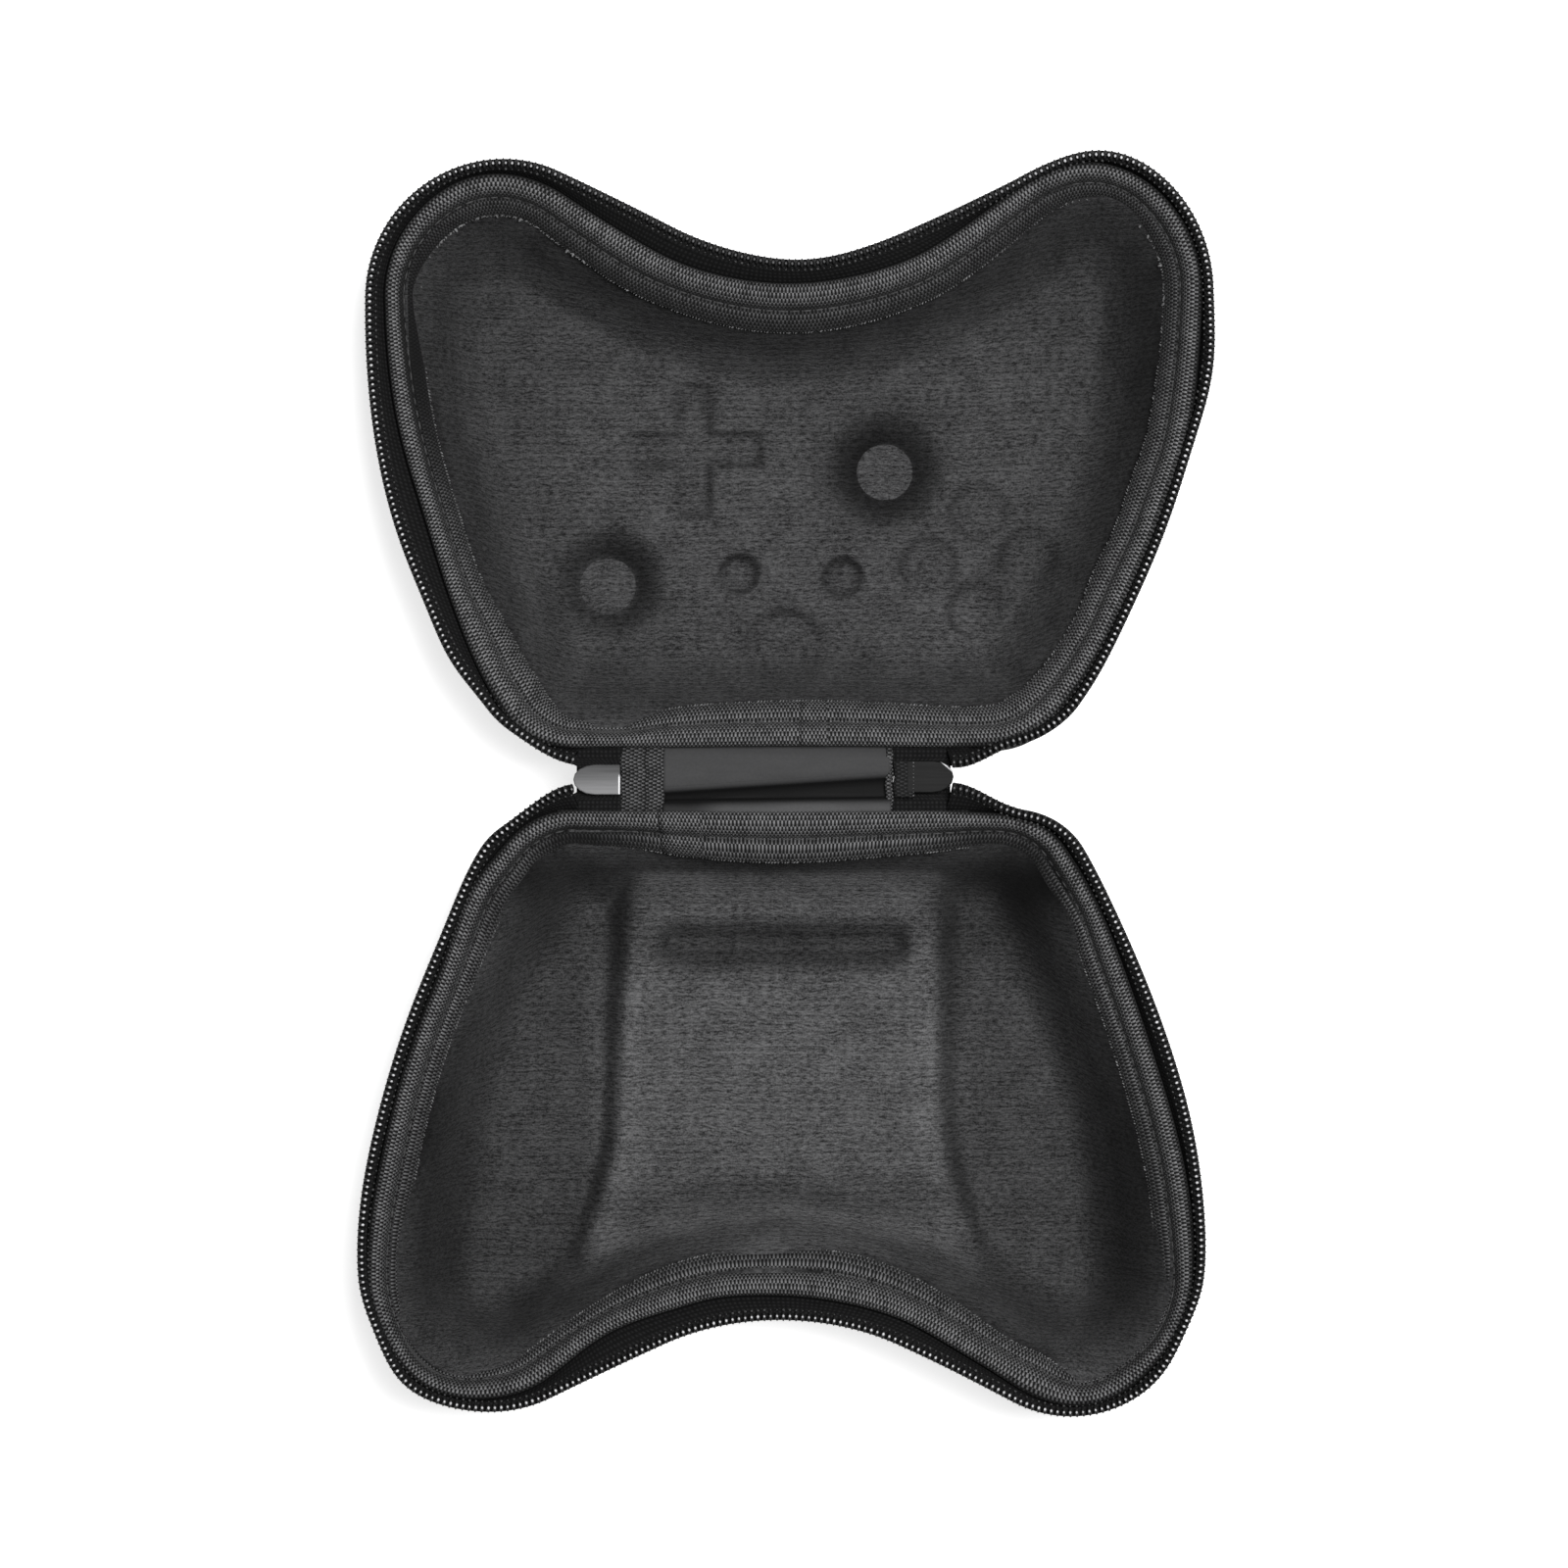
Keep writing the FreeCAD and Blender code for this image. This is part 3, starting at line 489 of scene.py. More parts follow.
def knitLook(name, nap, discs):
    # Brushed knit: ribs across the case made of short paler dashes, soft mottling and a little fuzz, under
    # painted shade where the cloth lies deep.
    # nap is how light the pile looks from above, and discs are the floors of the pits, where the painted
    # shade is lifted so that they read as lit.
    knit = {"pitch": 1.77, "dash": (1.4, 0.42), "dark": 0.018, "light": 0.197, "deep": 0.002,
            "disc": (5.8, 6.15), "paintedDiscLight": 0.76}
    look = Look(name, 0.95, Sheen_Weight=0.02, Sheen_Roughness=0.6, Specular_IOR_Level=0.06)
    x, y = look.onCloth()
    flat = look.point(x, y)
    drift = look.noise(flat, 45.0, 3.0) - 0.5
    rows = y / (knit["pitch"] * millimetre) + drift * 1.3
    rib = (rows * (2 * math.pi)).wave()
    wide, tall = knit["dash"]
    dash = look.point(x / (wide * millimetre), y / (tall * millimetre) + drift * 6.0)
    dashes = look.noise(dash, 1.0, 2.0, 0.6)
    fuzz = look.noise(flat, 2600.0, 2.0, 0.7)
    patches = look.noise(flat, 150.0, 3.0, 0.6)
    amount = rib * 0.11 + dashes * 1.5 + fuzz * 1.06 + (patches - 0.5) * 0.5 - 0.925
    colour = look.shade(knit["dark"] * nap, knit["light"] * nap, amount.within(-0.1, 1.0))
    # painted shade: the colour falls towards 'deep' where less of the sky over the cloth is free
    free = look.openness()
    across, along, up = look.split(look.onObject())
    # painted light: the floors of the pits are kept at least this bright
    near, far = knit["disc"]
    for middleX, middleY in discs:
        away = ((across - middleX * millimetre) ** 2.0 + (along - middleY * millimetre) ** 2.0) ** 0.5
        free = free.work("MAXIMUM", knit["paintedDiscLight"] - away.within(near * millimetre, far * millimetre))
    look.paint("Base Color", look.shade(knit["deep"], colour, free))
    look.bump(rib * 0.2 + dashes * 0.7 + fuzz * 0.9, 0.25)
    return look.material


def bindingLook(name, light):
    # Grosgrain: fine ribs across the tape, whose threads show as rows of paler dots
    weave = {"rib": 0.80, "row": 0.84, "dark": 0.005, "deep": 0.002}
    look = Look(name, 0.85, Sheen_Weight=0.02, Specular_IOR_Level=0.15)
    x, y = look.onCloth()
    patches = look.noise(look.point(x, y), 260.0, 3.0)
    rows = y / (weave["row"] * millimetre)
    line = rows.whole()
    ribs = x / (weave["rib"] * millimetre) + line * 0.5 + patches * 0.5
    rib = (ribs * (2 * math.pi)).wave()
    across = (rows * (2 * math.pi)).wave()
    dots = rib * (across * 0.45 + 0.55)
    thread = look.chance(ribs.whole(), line)
    amount = dots * 1.0 + thread * dots * 0.5 + (patches - 0.5) * 0.5 - 0.16
    colour = look.shade(weave["dark"], light, amount.within(0.0, 1.0))
    # painted shade: the colour falls towards 'deep' where less of the sky over the tape is free
    look.paint("Base Color", look.shade(weave["deep"], colour, look.openness()))
    look.bump(dots, 0.2)
    return look.material


def tapeLook():
    # Fine flat weave of the zip tape
    weave = {"thread": 0.45, "dark": 0.004, "light": 0.020}
    look = Look("tapeWeave", 0.9, Specular_IOR_Level=0.1)
    x, y = look.onCloth()
    across = (x / (weave["thread"] * millimetre) * math.pi).wave()
    along = (y / (weave["thread"] * millimetre) * math.pi).wave()
    grain = look.noise(look.point(x, y), 900.0, 3.0)
    amount = across * along * 0.6 + grain * 0.5
    look.paint("Base Color", look.shade(weave["dark"], weave["light"], amount.within(0.1, 1.0)))
    look.bump(across * along, 0.08)
    return look.material


def coverLook():
    # Outer cover: woven nylon pressed over the foam
    weave = {"thread": 0.7, "dark": 0.012, "light": 0.034}
    look = Look("coverWeave", 0.72, Sheen_Weight=0.08, Sheen_Roughness=0.4)
    x, y = look.onCloth()
    across = x / (weave["thread"] * millimetre)
    along = y / (weave["thread"] * millimetre)
    over = ((across.whole() + along.whole()) * 0.5).part() * 2.0
    threads = (across * (2 * math.pi)).wave() * over + (along * (2 * math.pi)).wave() * (1.0 - over)
    grain = look.noise(look.point(x, y), 500.0, 3.0)
    amount = threads * 0.6 + grain * 0.5
    look.paint("Base Color", look.shade(weave["dark"], weave["light"], amount.within(0.1, 1.0)))
    look.bump(threads, 0.12)
    return look.material


def coilLook():
    # Black nylon, with painted highlights on the crests of the coil, strongest along the sides of the case
    coil = {"dark": 0.004, "light": 0.014, "crest": (36.62, 36.66), "bright": 0.75, "sides": (30.0, 72.0)}
    look = Look("coilNylon", 0.5, Specular_IOR_Level=0.2)
    coords = look.onObject()
    x, y, z = look.split(coords)
    grain = look.noise(coords, 700.0, 2.0)
    low, high = coil["crest"]
    crest = z.within(low * millimetre, high * millimetre)
    start, full = coil["sides"]
    glintAlongSides = x.work("ABSOLUTE").within(start * millimetre, full * millimetre)
    glintAlongSides = glintAlongSides.work("MAXIMUM", y.within(-0.002, -0.012)) * 0.85 + 0.15
    body = look.shade(coil["dark"], coil["light"], grain)
    # painted highlight: the crests of the coil turn bright, most along the sides
    look.paint("Base Color", look.shade(body, coil["bright"], crest * glintAlongSides * (grain + 0.35)))
    look.paint("Roughness", grain * 0.2 + 0.4)
    return look.material


def stripLook():
    # Coated fabric, smooth with a slight sheen, faint creases along it and a fine grain
    look = Look("stripCoating", 0.6, Specular_IOR_Level=0.06)
    coords = look.onObject()
    x, y, z = look.split(coords)
    grain = look.noise(coords, 1800.0, 2.0)
    creases = look.noise(look.point(x * 40.0, y * 500.0), 1.0, 3.0)
    colour = look.shade(0.075, 0.135, grain * 0.5 + creases * 0.5)
    # painted light and shade: the colour falls towards black by the strip's 'open' attribute
    look.paint("Base Color", look.shade(0.001, colour, look.openness()))
    look.paint("Roughness", creases * 0.2 + 0.5)
    look.bump(creases + grain * 0.5, 0.05)
    return look.material


def metalLook(name, dark, light, metallic, highlightFrom):
    # Painted die-cast metal with brushed streaks along the slider, and painted shade that darkens it towards
    # +Y and leaves it paler towards -Y.
    # highlightFrom is the X from which a painted highlight runs along its back edge; on the other slider the
    # painted highlight runs across its nose.
    look = Look(name, 0.6, Metallic=metallic, Specular_IOR_Level=0.12)
    coords = look.onObject()
    x, y, z = look.split(coords)
    brushed = look.noise(look.point(x * 90.0, y * 2400.0, z * 900.0), 1.0, 3.0)
    # painted shade: darker towards +Y; the edge below is a painted highlight
    amount = brushed * 0.45 + (1.0 - y.within(-0.0034, 0.0028)) * 0.75 - 0.05
    if highlightFrom < 0:
        edge = x.within(highlightFrom * millimetre, (highlightFrom + 0.12) * millimetre) * (1.0 - y.within(0.0002, 0.0012))
    else:
        edge = (x + y * 1.17).within(highlightFrom * millimetre, (highlightFrom + 0.2) * millimetre) * y.within(0.0008, 0.0014)
    look.paint("Base Color", look.shade(look.shade(dark, light, amount), 0.75, edge))
    look.paint("Roughness", brushed * 0.15 + 0.5)
    look.bump(brushed, 0.015)
    return look.material


def threadLook(name, dark, light):
    look = Look(name, 0.7, Sheen_Weight=0.2)
    coords = look.onObject()
    grain = look.noise(coords, 1200.0, 2.0)
    patches = look.noise(coords, 250.0, 2.0)
    look.paint("Base Color", look.shade(dark, light, (grain * 0.4 + patches * 0.8).within(0.35, 0.95)))
    return look.material


bindingWeave = bindingLook("bindingWeave", 0.23)
endWeave = bindingLook("endWeave", 0.15)
darkEndWeave = bindingLook("darkEndWeave", 0.035)
tapeWeave = tapeLook()
coverWeave = coverLook()
coilNylon = coilLook()
stripCoating = stripLook()
# The sliders share one paint; the left one's pale copy is painted reflection of the light
paintedGlareMetal = metalLook("sliderPaintedGlare", 0.03, 0.21, 0.25, -34.62)
darkMetal = metalLook("sliderDark", 0.001, 0.003, 0.0, 35.95)
seamThread = threadLook("seamThread", 0.012, 0.045)
frayThread = threadLook("frayThread", 0.03, 0.26)
print("materials ready")


# Rows of repeated bits along a path, by Geometry Nodes

def bitTree(name, headed):
    # Bars across a path at even steps. Local X points outwards from the half, local Y down, local Z along.
    tree = bpy.data.node_groups.new(name, "GeometryNodeTree")
    tree.is_modifier = True
    kinds = {"Path": "Geometry", "Seed": "Int", "Material": "Material"}
    for label in ("Path", "Spacing", "Length", "Width", "Height", "Head", "Out", "Turn", "Stray", "Uneven",
                  "Seed", "Material"):
        kind = "NodeSocket" + kinds.get(label, "Float")
        tree.interface.new_socket(label, in_out="INPUT", socket_type=kind)
    tree.interface.new_socket("Bits", in_out="OUTPUT", socket_type="NodeSocketGeometry")
    graph = Graph(tree)
    source = tree.nodes.new("NodeGroupInput")
    given = {socket.name: Wire(graph, socket) for socket in source.outputs if socket.name}

    def block(length, height, width, shift):
        size = graph.add("ShaderNodeCombineXYZ", {}, length, height, width)
        cube = graph.add("GeometryNodeMeshCube", {}, Size=size)
        soft = graph.add("GeometryNodeSubdivisionSurface", {}, Mesh=cube, Level=1)
        moved = graph.add("ShaderNodeCombineXYZ", {}, shift, 0.0, 0.0)
        return graph.add("GeometryNodeTransform", {}, Geometry=soft, Translation=moved)

    bar = block(given["Length"], given["Height"], given["Width"], 0.0)
    if headed:
        head = block(given["Head"], given["Height"] * 1.25, given["Width"] * 0.95, given["Out"])
        both = tree.nodes.new("GeometryNodeJoinGeometry")
        tree.links.new(bar.socket, both.inputs[0])
        tree.links.new(head.socket, both.inputs[0])
        bar = Wire(graph, both.outputs[0])
    curve = graph.add("GeometryNodeMeshToCurve", {}, Mesh=given["Path"])
    curve = graph.add("GeometryNodeSetCurveNormal", {"mode": "Z_UP"}, Curve=curve)
    points = graph.add("GeometryNodeCurveToPoints", {"mode": "LENGTH"}, Curve=curve, Length=given["Spacing"])
    turn = Wire(graph, points.socket.node.outputs["Rotation"])
    bits = graph.add("GeometryNodeInstanceOnPoints", {}, Points=points, Instance=bar, Rotation=turn)
    stray = graph.add("FunctionNodeRandomValue", {"data_type": "FLOAT"}, Seed=given["Seed"], out="Value")
    stray.socket.node.inputs[2].default_value = -1.0
    stray.socket.node.inputs[3].default_value = 1.0
    angle = graph.add("ShaderNodeCombineXYZ", {}, 0.0, stray * given["Stray"] + given["Turn"], 0.0)
    bits = graph.add("GeometryNodeRotateInstances", {}, Instances=bits, Rotation=angle)
    uneven = stray * given["Uneven"] + 1.0
    size = graph.add("ShaderNodeCombineXYZ", {}, uneven, 1.0, uneven)
    bits = graph.add("GeometryNodeScaleInstances", {}, Instances=bits, Scale=size)
    plain = graph.add("GeometryNodeRealizeInstances", {}, Geometry=bits)
    shaded = graph.add("GeometryNodeSetShadeSmooth", {}, Geometry=plain)
    coloured = graph.add("GeometryNodeSetMaterial", {}, Geometry=shaded, Material=given["Material"])
    tree.links.new(coloured.socket, tree.nodes.new("NodeGroupOutput").inputs[0])
    return tree


toothTree = bitTree("zipTeeth", True)
stitchTree = bitTree("stitches", False)


def bitsAlong(name, path, sizes, look, body, node=None):
    # Rows of bits along a list of lines. A bit with a head is a tooth.
    tree = toothTree if "Head" in sizes else stitchTree
    points, edges = [], []
    for line in path:
        first = len(points)
        points += list(line)
        edges += [(i, i + 1) for i in range(first, len(points) - 1)]
    guide = newObject(name + "Path", newMesh(name + "Path", points, edges))
    modifier = guide.modifiers.new("bits", "NODES")
    modifier.node_group = tree
    plain = ("Turn", "Stray", "Uneven", "Seed")
    given = {label: size if label in plain else size * millimetre for label, size in sizes.items()}
    given["Material"] = look
    for item in tree.interface.items_tree:
        if item.name in given:
            modifier[item.identifier] = given[item.name]
    guide.update_tag()
    view = bpy.context.evaluated_depsgraph_get()
    mesh = bpy.data.meshes.new_from_object(guide.evaluated_get(view))
    bpy.data.objects.remove(guide)
    dress(newObject(name, mesh), look, body, node)


def closed(line):
    return np.vstack([line, line[:1]])


def openColumns(half, line):
    # The columns round a half from one end of its chain to the other. The base's outline is turned, so
    # there the ends change sides.
    start, end = zipEnds(half)
    gap = (line[:, 1] < case["hingeGap"] / 2 + 6) & (line[:, 0] < start) & (line[:, 0] > end)
    first = np.nonzero(~gap & np.roll(gap, 1))[0][0]
    return (first + np.arange((~gap).sum())) % len(line)


def zipEnds(half):
    start, end = case["zipFrom"], case["zipTo"]
    return (start, end) if half == "lid" else (-end, -start)


# The moulded halves: outer cover and lining

moulded = {
    "foam": 4.0, "lining": 1.0, "top": 30.4, "liningRun": 3.8,
    "flange": (4.5, 24.0), "wall": (9.5, 4.5), "foot": 14.0,  # runs from the rim, and the corner's height
    "coverDepth": 2.6, "knitDepth": 0.7, "nap": {"lid": 0.74, "base": 1.0},
    "fan": {"Cover": 40, "Knit": 84}, "detail": {"Cover": 0.8, "Knit": 1.2},
    "middle": {"lid": (0, 56), "base": (0, 58)},
    "pits": [(-38.7, 41.9), (19.7, 65.8)], "pitFloor": 6.1, "pitMouth": 13.2, "pitDepth": 6.5,
    "bossGrowth": 3.0,
    "pad": (-20.6, 70.6), "padReach": 13.9, "padHalf": 3.3,
    # round hollows: the middle of a set, how far its members spread, their radius and share of the depth
    "buttons": ((39.4, 46.3), 10.4, 5.7, 0.8), "smalls": ((0.0, 43.5), 10.9, 3.9, 1.15),
    "centre": ((-0.9, 27.8), 0.0, 8.0, 0.6),
    "dent": 1.9, "dentEdge": 1.1, "buttonTilt": 0.07, "smallTilt": 0.0385,  # the sets lie a little askew
    "block": 11.0, "blockNear": 31.5, "blockFlare": 0.038, "blockBend": 7.0, "blockDraft": 4.5,
    "bendFrom": 72, "bendTo": 104, "blockBlend": 0.7,
    "trough": 33.8, "troughHalf": 4.03, "troughReach": 25.5, "troughDepth": 5.0,
    "fallFrom": 79.0, "fallTo": 94.0, "fall": 3.5,
    "wellMiddle": 42.0, "wellFlare": 0.19, "wellHalf": 16.0, "wellRise": 0.012,
    "recess": (27.0, 80.0), "recessDepth": 8.0, "recessHalf": 33.0,
}


def unevenness(x, y):
    # foam and cloth are never quite flat
    return (0.16 * np.sin(x / 7.3 + 1.1) * np.sin(y / 8.9 + 0.4) + 0.10 * np.sin(x / 3.9 - y / 5.2)
            + 0.12 * np.sin(x / 13.0 + y / 11.0 + 2.0))


def pitsAt(x, y, grow=0.0):
    near, far = moulded["pitFloor"] + grow, moulded["pitMouth"] + grow
    away = [np.hypot(x - middleX, y - middleY) for middleX, middleY in moulded["pits"]]
    shares = [1 - np.clip((each - near) / (far - near), 0, 1) for each in away]
    return moulded["pitDepth"] * sum(share ** 1.5 for share in shares)


def dentsAt(x, y):
    edge = moulded["dentEdge"]

    def disc(kind, right=0, up=0):
        (middleX, middleY), spread, radius, share = moulded[kind]
        away = np.hypot(x - middleX - right * spread, y - middleY - up * spread) - radius
        return share * (1 - smooth(-edge, edge, away))

    tilt, small = moulded["buttonTilt"], moulded["smallTilt"]
    discs = [disc("buttons", right, up) for right, up in ((1, tilt), (0, 1), (-1, -tilt), (0, -1))]
    discs += [disc("smalls", -1, small), disc("smalls", 1, -small), disc("centre")]
    across, along = np.abs(x - moulded["pad"][0]), np.abs(y - moulded["pad"][1])
    reach, wide = moulded["padReach"], moulded["padHalf"]
    arm = np.minimum(np.maximum(across - reach, along - wide), np.maximum(across - wide, along - reach))
    return moulded["dent"] * np.max([*discs, 1 - smooth(-edge, edge, arm)], axis=0)


def lidInside(x, y, z):
    near = smooth(case["lidFloor"] + 14, case["lidFloor"] + 6, z)
    return z - (pitsAt(x, y) + dentsAt(x, y) - unevenness(x, y)) * near


def lidOutside(x, y, z):
    # the pits show outside as low bosses
    return z - np.minimum(pitsAt(x, y, moulded["bossGrowth"]), moulded["pitDepth"]) * smooth(14, 9, z)


def baseInside(x, y, z):
    side = np.abs(x)
    bend = smooth(moulded["bendFrom"], moulded["bendTo"], y)
    edge = moulded["blockNear"] + moulded["blockFlare"] * y + moulded["blockBend"] * bend
    reach = smooth(moulded["troughReach"] + 2.0, moulded["troughReach"] - 2.5, side)
    trough = moulded["troughDepth"] * reach * bell(y, moulded["trough"], moulded["troughHalf"])
    fall = moulded["fall"] * smooth(moulded["fallFrom"], moulded["fallTo"], y)
    top = (moulded["block"] - trough - fall) * smooth(edge + moulded["blockDraft"] + 1.5, edge - 1.5, side)
    middle, wide = moulded["wellMiddle"] + moulded["wellFlare"] * y, moulded["wellHalf"]
    well = moulded["wellRise"] * np.clip(side - middle, -wide, wide) ** 2
    ground = z + well * smooth(18, 8, z)
    raised = case["baseFloor"] + moulded["foam"] + moulded["lining"] + top
    return softMax(ground, raised, moulded["blockBlend"]) + unevenness(x, y) * smooth(24, 14, z)


def baseOutside(x, y, z):
    start, stop = moulded["recess"]
    deep = smooth(moulded["recessHalf"] + 1, moulded["recessHalf"] - 2, np.abs(x))
    deep = deep * smooth(start, start + 3, y) * smooth(stop, stop - 3, y)
    return z + moulded["recessDepth"] * deep * smooth(6, 3, z)


def formedSkin(half, kind, run, deep, shape, facing):
    # Rows down the wall by a rounded section, then a fan of rows to the middle of the floor
    floor = case[half + "Floor"] + deep
    (mouth, high), (corner, rise) = moulded["flange"], moulded["wall"]
    section = [(run, moulded["top"]), (mouth + deep, high), (corner + deep, floor + rise),
               (moulded["foot"] + deep, floor)]
    middle, fan = np.array(moulded["middle"][half]), moulded["fan"][kind]
    rows = [level(rimLine(run, moulded["detail"][kind]), height) for run, height in rounded(section)]
    wall, foot = len(rows), rows[-1]
    rows += [foot * (1 - t) + np.array([*middle, floor]) * t for t in np.arange(1, fan) / fan]
    rows = np.array(rows)
    cloth = rows[..., :2].copy()
    rise = np.zeros(rows.shape[1])
    for i in range(wall - 2, -1, -1):  # cloth on the wall keeps its own length
        rise = rise + np.linalg.norm(rows[i] - rows[i + 1], axis=1)
        out = cloth[i] - foot[:, :2]
        cloth[i] = foot[:, :2] + out / np.maximum(np.linalg.norm(out, axis=1), 0.01)[:, None] * rise[:, None]
    rows[..., 2] = shape(rows[..., 0], rows[..., 1], rows[..., 2])
    top = np.array([*middle, shape(middle[0], middle[1], floor)])
    cloth = cloth if half == "lid" else -cloth
    return sweep(half + kind, place(half, rows), centre=place(half, top), cloth=cloth, facing=facing)


def buildHalf(half):
    outside, inside = (lidOutside, lidInside) if half == "lid" else (baseOutside, baseInside)
    outer = formedSkin(half, "Cover", 0.0, 0.0, outside, -1)
    thicken(outer, moulded["coverDepth"])
    dress(outer, coverWeave, half, half + "_shell")
    knit = formedSkin(half, "Knit", moulded["liningRun"], moulded["foam"] + moulded["lining"], inside, 1)
    thicken(knit, moulded["knitDepth"])
    pits = [place("lid", np.array([*pit, 0.0]))[:2].tolist() for pit in moulded["pits"]]
    look = knitLook(half + "Knit", moulded["nap"][half], pits if half == "lid" else [])
    dress(knit, look, half, half + "_lining")
    print(half, "cover and lining built")


for half in ("base", "lid"):
    buildHalf(half)


# Binding round each rim

binding = {
    "skin": [(3.8, 24.2), (1.0, 28.4), (-0.6, 30.6), (-0.6, 32.6), (0.6, 33.9), (2.1, 33.7), (3.2, 32.2),
             (3.7, 30.1), (4.3, 30.6), (5.9, 30.0), (7.6, 27.7), (8.7, 25.3), (8.5, 24.3)],
    "back": [(7.2, 25.4), (5.0, 27.6), (3.4, 29.0), (2.2, 28.6), (3.4, 25.4)],
    "foldRun": 3.7, "foldHeight": 30.3,  # inside this the band is as wide as its place asks
    "groove": (3.75, 30.35), "edge": (8.55, 25.1),
    "band": {"side": 0.60, "notch": 0.84, "hinge": 0.72, "baseHorn": 0.36},
    "swell": 0.32, "sink": 2.6,  # the roll is wider, and its fold lower, along the notch
    "whole": (4.3, 5.0),  # the width inside the fold, and that of a full band
    "bow": {"lid": (2.0, 4.0, 30.0), "base": (1.8, 2.0, 32.0)},  # how far, middle and reach
    "lap": {"lid": (1.5, 9.5), "base": (16.5, 26.0)},  # where the tape's ends lie over each other
    "lapRise": 0.45,
    # places where it shows wider or narrower: X, Y, how far round, and by how many millimetres
    "grow": {
        "lid": [(54, 10, 9, 1.5), (64, 22, 8, 0.6), (73, 38, 11, 1.9), (81, 57, 11, 1.3), (87, 76, 9, 0.6),
                (71, 129, 12, -1.2), (-28, 117, 10, 1.5), (-41, 123, 7, 0.8), (-86, 102, 15, -0.9),
                (-68, 24, 9, 1.6), (-60, 13, 7, 1.2), (-36, 6, 9, -2.5), (-48, 6, 5, -0.6)],
        "base": [(0, -6, 24, 1.2), (-34, -6, 9, -1.1), (-47, -6, 6, -0.9), (-59, -9, 7, -1.2),
                 (-66, -18, 6, -0.9), (-88, -98, 14, -1.0), (-76, -125, 14, -1.6), (-44, -126, 9, 0.4),
                 (-4, -112, 13, -1.6), (32, -121, 7, 0.8), (49, -130, 7, 1.8), (64, -131, 8, -1.2),
                 (80, -119, 10, -1.3), (86, -104, 10, -0.9), (66, -23, 7, -1.0), (60, -11, 6, -0.9),
                 (52, -7, 6, -0.9), (42, -6, 7, -1.1)],
    },
    "stitch": {"Spacing": 2.6, "Length": 0.5, "Width": 2.1, "Height": 0.5, "Stray": 0.06, "Uneven": 0.12,
               "Seed": 3},
    "fray": {"Spacing": 0.66, "Length": 0.9, "Width": 0.30, "Height": 0.3, "Turn": 0.15, "Stray": 0.8,
             "Uneven": 0.55, "Seed": 11},
    "loose": {"Spacing": 1.3, "Length": 1.2, "Width": 0.4, "Height": 0.4, "Turn": 0.9, "Stray": 2.6,
              "Uneven": 0.8, "Seed": 21},
}


def bandWidth(half, line):
    across, along = line[:, 0], line[:, 1]
    width = binding["band"]
    share = width["side"] + (width["notch"] - width["side"]) * bell(across, 0, 46) * smooth(70, 92, along)
    share = share + (width["hinge"] - width["side"]) * smooth(34, 14, along)
    if half == "base":
        share = share + (width["baseHorn"] - width["side"]) * smooth(100, 116, along)
    return share


def bindingRow(half, run, height, detail=1.0):
    rim, line = rimLine(0, detail), rimLine(run, detail)
    swell = binding["swell"] * bell(rim[:, 0], 0, 40) * smooth(70, 92, rim[:, 1])
    if run > binding["foldRun"]:
        fold = rimLine(binding["foldRun"], detail)
        share = bandWidth(half, fold)
        line = rim + (fold - rim) * (1 + swell[:, None]) + (line - fold) * share[:, None]
        height = binding["foldHeight"] + (height - binding["foldHeight"]) * share
    elif run > 0:
        line = rim + (line - rim) * (1 + swell[:, None])
    height = height - binding["sink"] * swell * smooth(0, binding["foldRun"], run)
    where = place(half, level(rim, 31.0))
    change = np.zeros(len(rim))
    for middleX, middleY, reach, more in binding["grow"][half]:
        change += more * np.exp(-((where[:, 0] - middleX) ** 2 + (where[:, 1] - middleY) ** 2) / reach ** 2)
    whole = binding["whole"][0] + binding["whole"][1] * bandWidth(half, rim)
    line = rim + (line - rim) * (1 + np.maximum(change / whole, -0.6))[:, None]
    far, middle, reach = binding["bow"][half]
    nearHinge = smooth(30, 14, line[:, 1])
    inner = smooth(-1, 9, run) * 0.75 + 0.25
    line[:, 1] += far * inner * nearHinge * bell(line[:, 0], middle, reach)
    turn = np.linspace(0, 2 * math.pi, len(line), endpoint=False)
    wobble = 0.14 * np.sin(turn * 9 + 1) + 0.10 * np.sin(turn * 17 + 2.2)
    return level(line, height + wobble)


def bindingRows(half, columns=slice(None), rise=0.0):
    section = np.vstack([rounded(binding["skin"], 2), rounded(binding["back"], 1)])
    return place(half, np.array([bindingRow(half, run, height + rise)[columns] for run, height in section]))


def buildBinding(half):
    tape = sweep(half + "Binding", bindingRows(half), tube=True)
    dress(tape, bindingWeave, half, half + "_binding")
    low, high = binding["lap"][half]
    x, y = rimLine(4.0).T
    columns = np.nonzero((y < 30) & (x > low) & (x < high))[0]
    lap = sweep(half + "BindingLap", bindingRows(half, columns, binding["lapRise"]), ring=False, tube=True)
    dress(lap, bindingWeave, half)

    groove, edge = [place(half, bindingRow(half, *binding[line], 2.0)) for line in ("groove", "edge")]
    bitsAlong(half + "GrooveStitches", [closed(groove)], binding["stitch"], seamThread, half)
    bitsAlong(half + "EdgeThreads", [closed(edge)], binding["fray"], frayThread, half)
    if half == "lid":  # along the horns the cut edge has frayed more
        horns = [edge[(edge[:, 1] > 98) & (side * edge[:, 0] > start)] for side, start in ((1, 58), (-1, 42))]
        horns = [horn + (0, 0, 0.3) for horn in horns]
        bitsAlong("lidLooseThreads", horns, binding["loose"], frayThread, half)
    print(half, "binding sewn")


for half in ("base", "lid"):
    buildBinding(half)


# Zip tapes and teeth

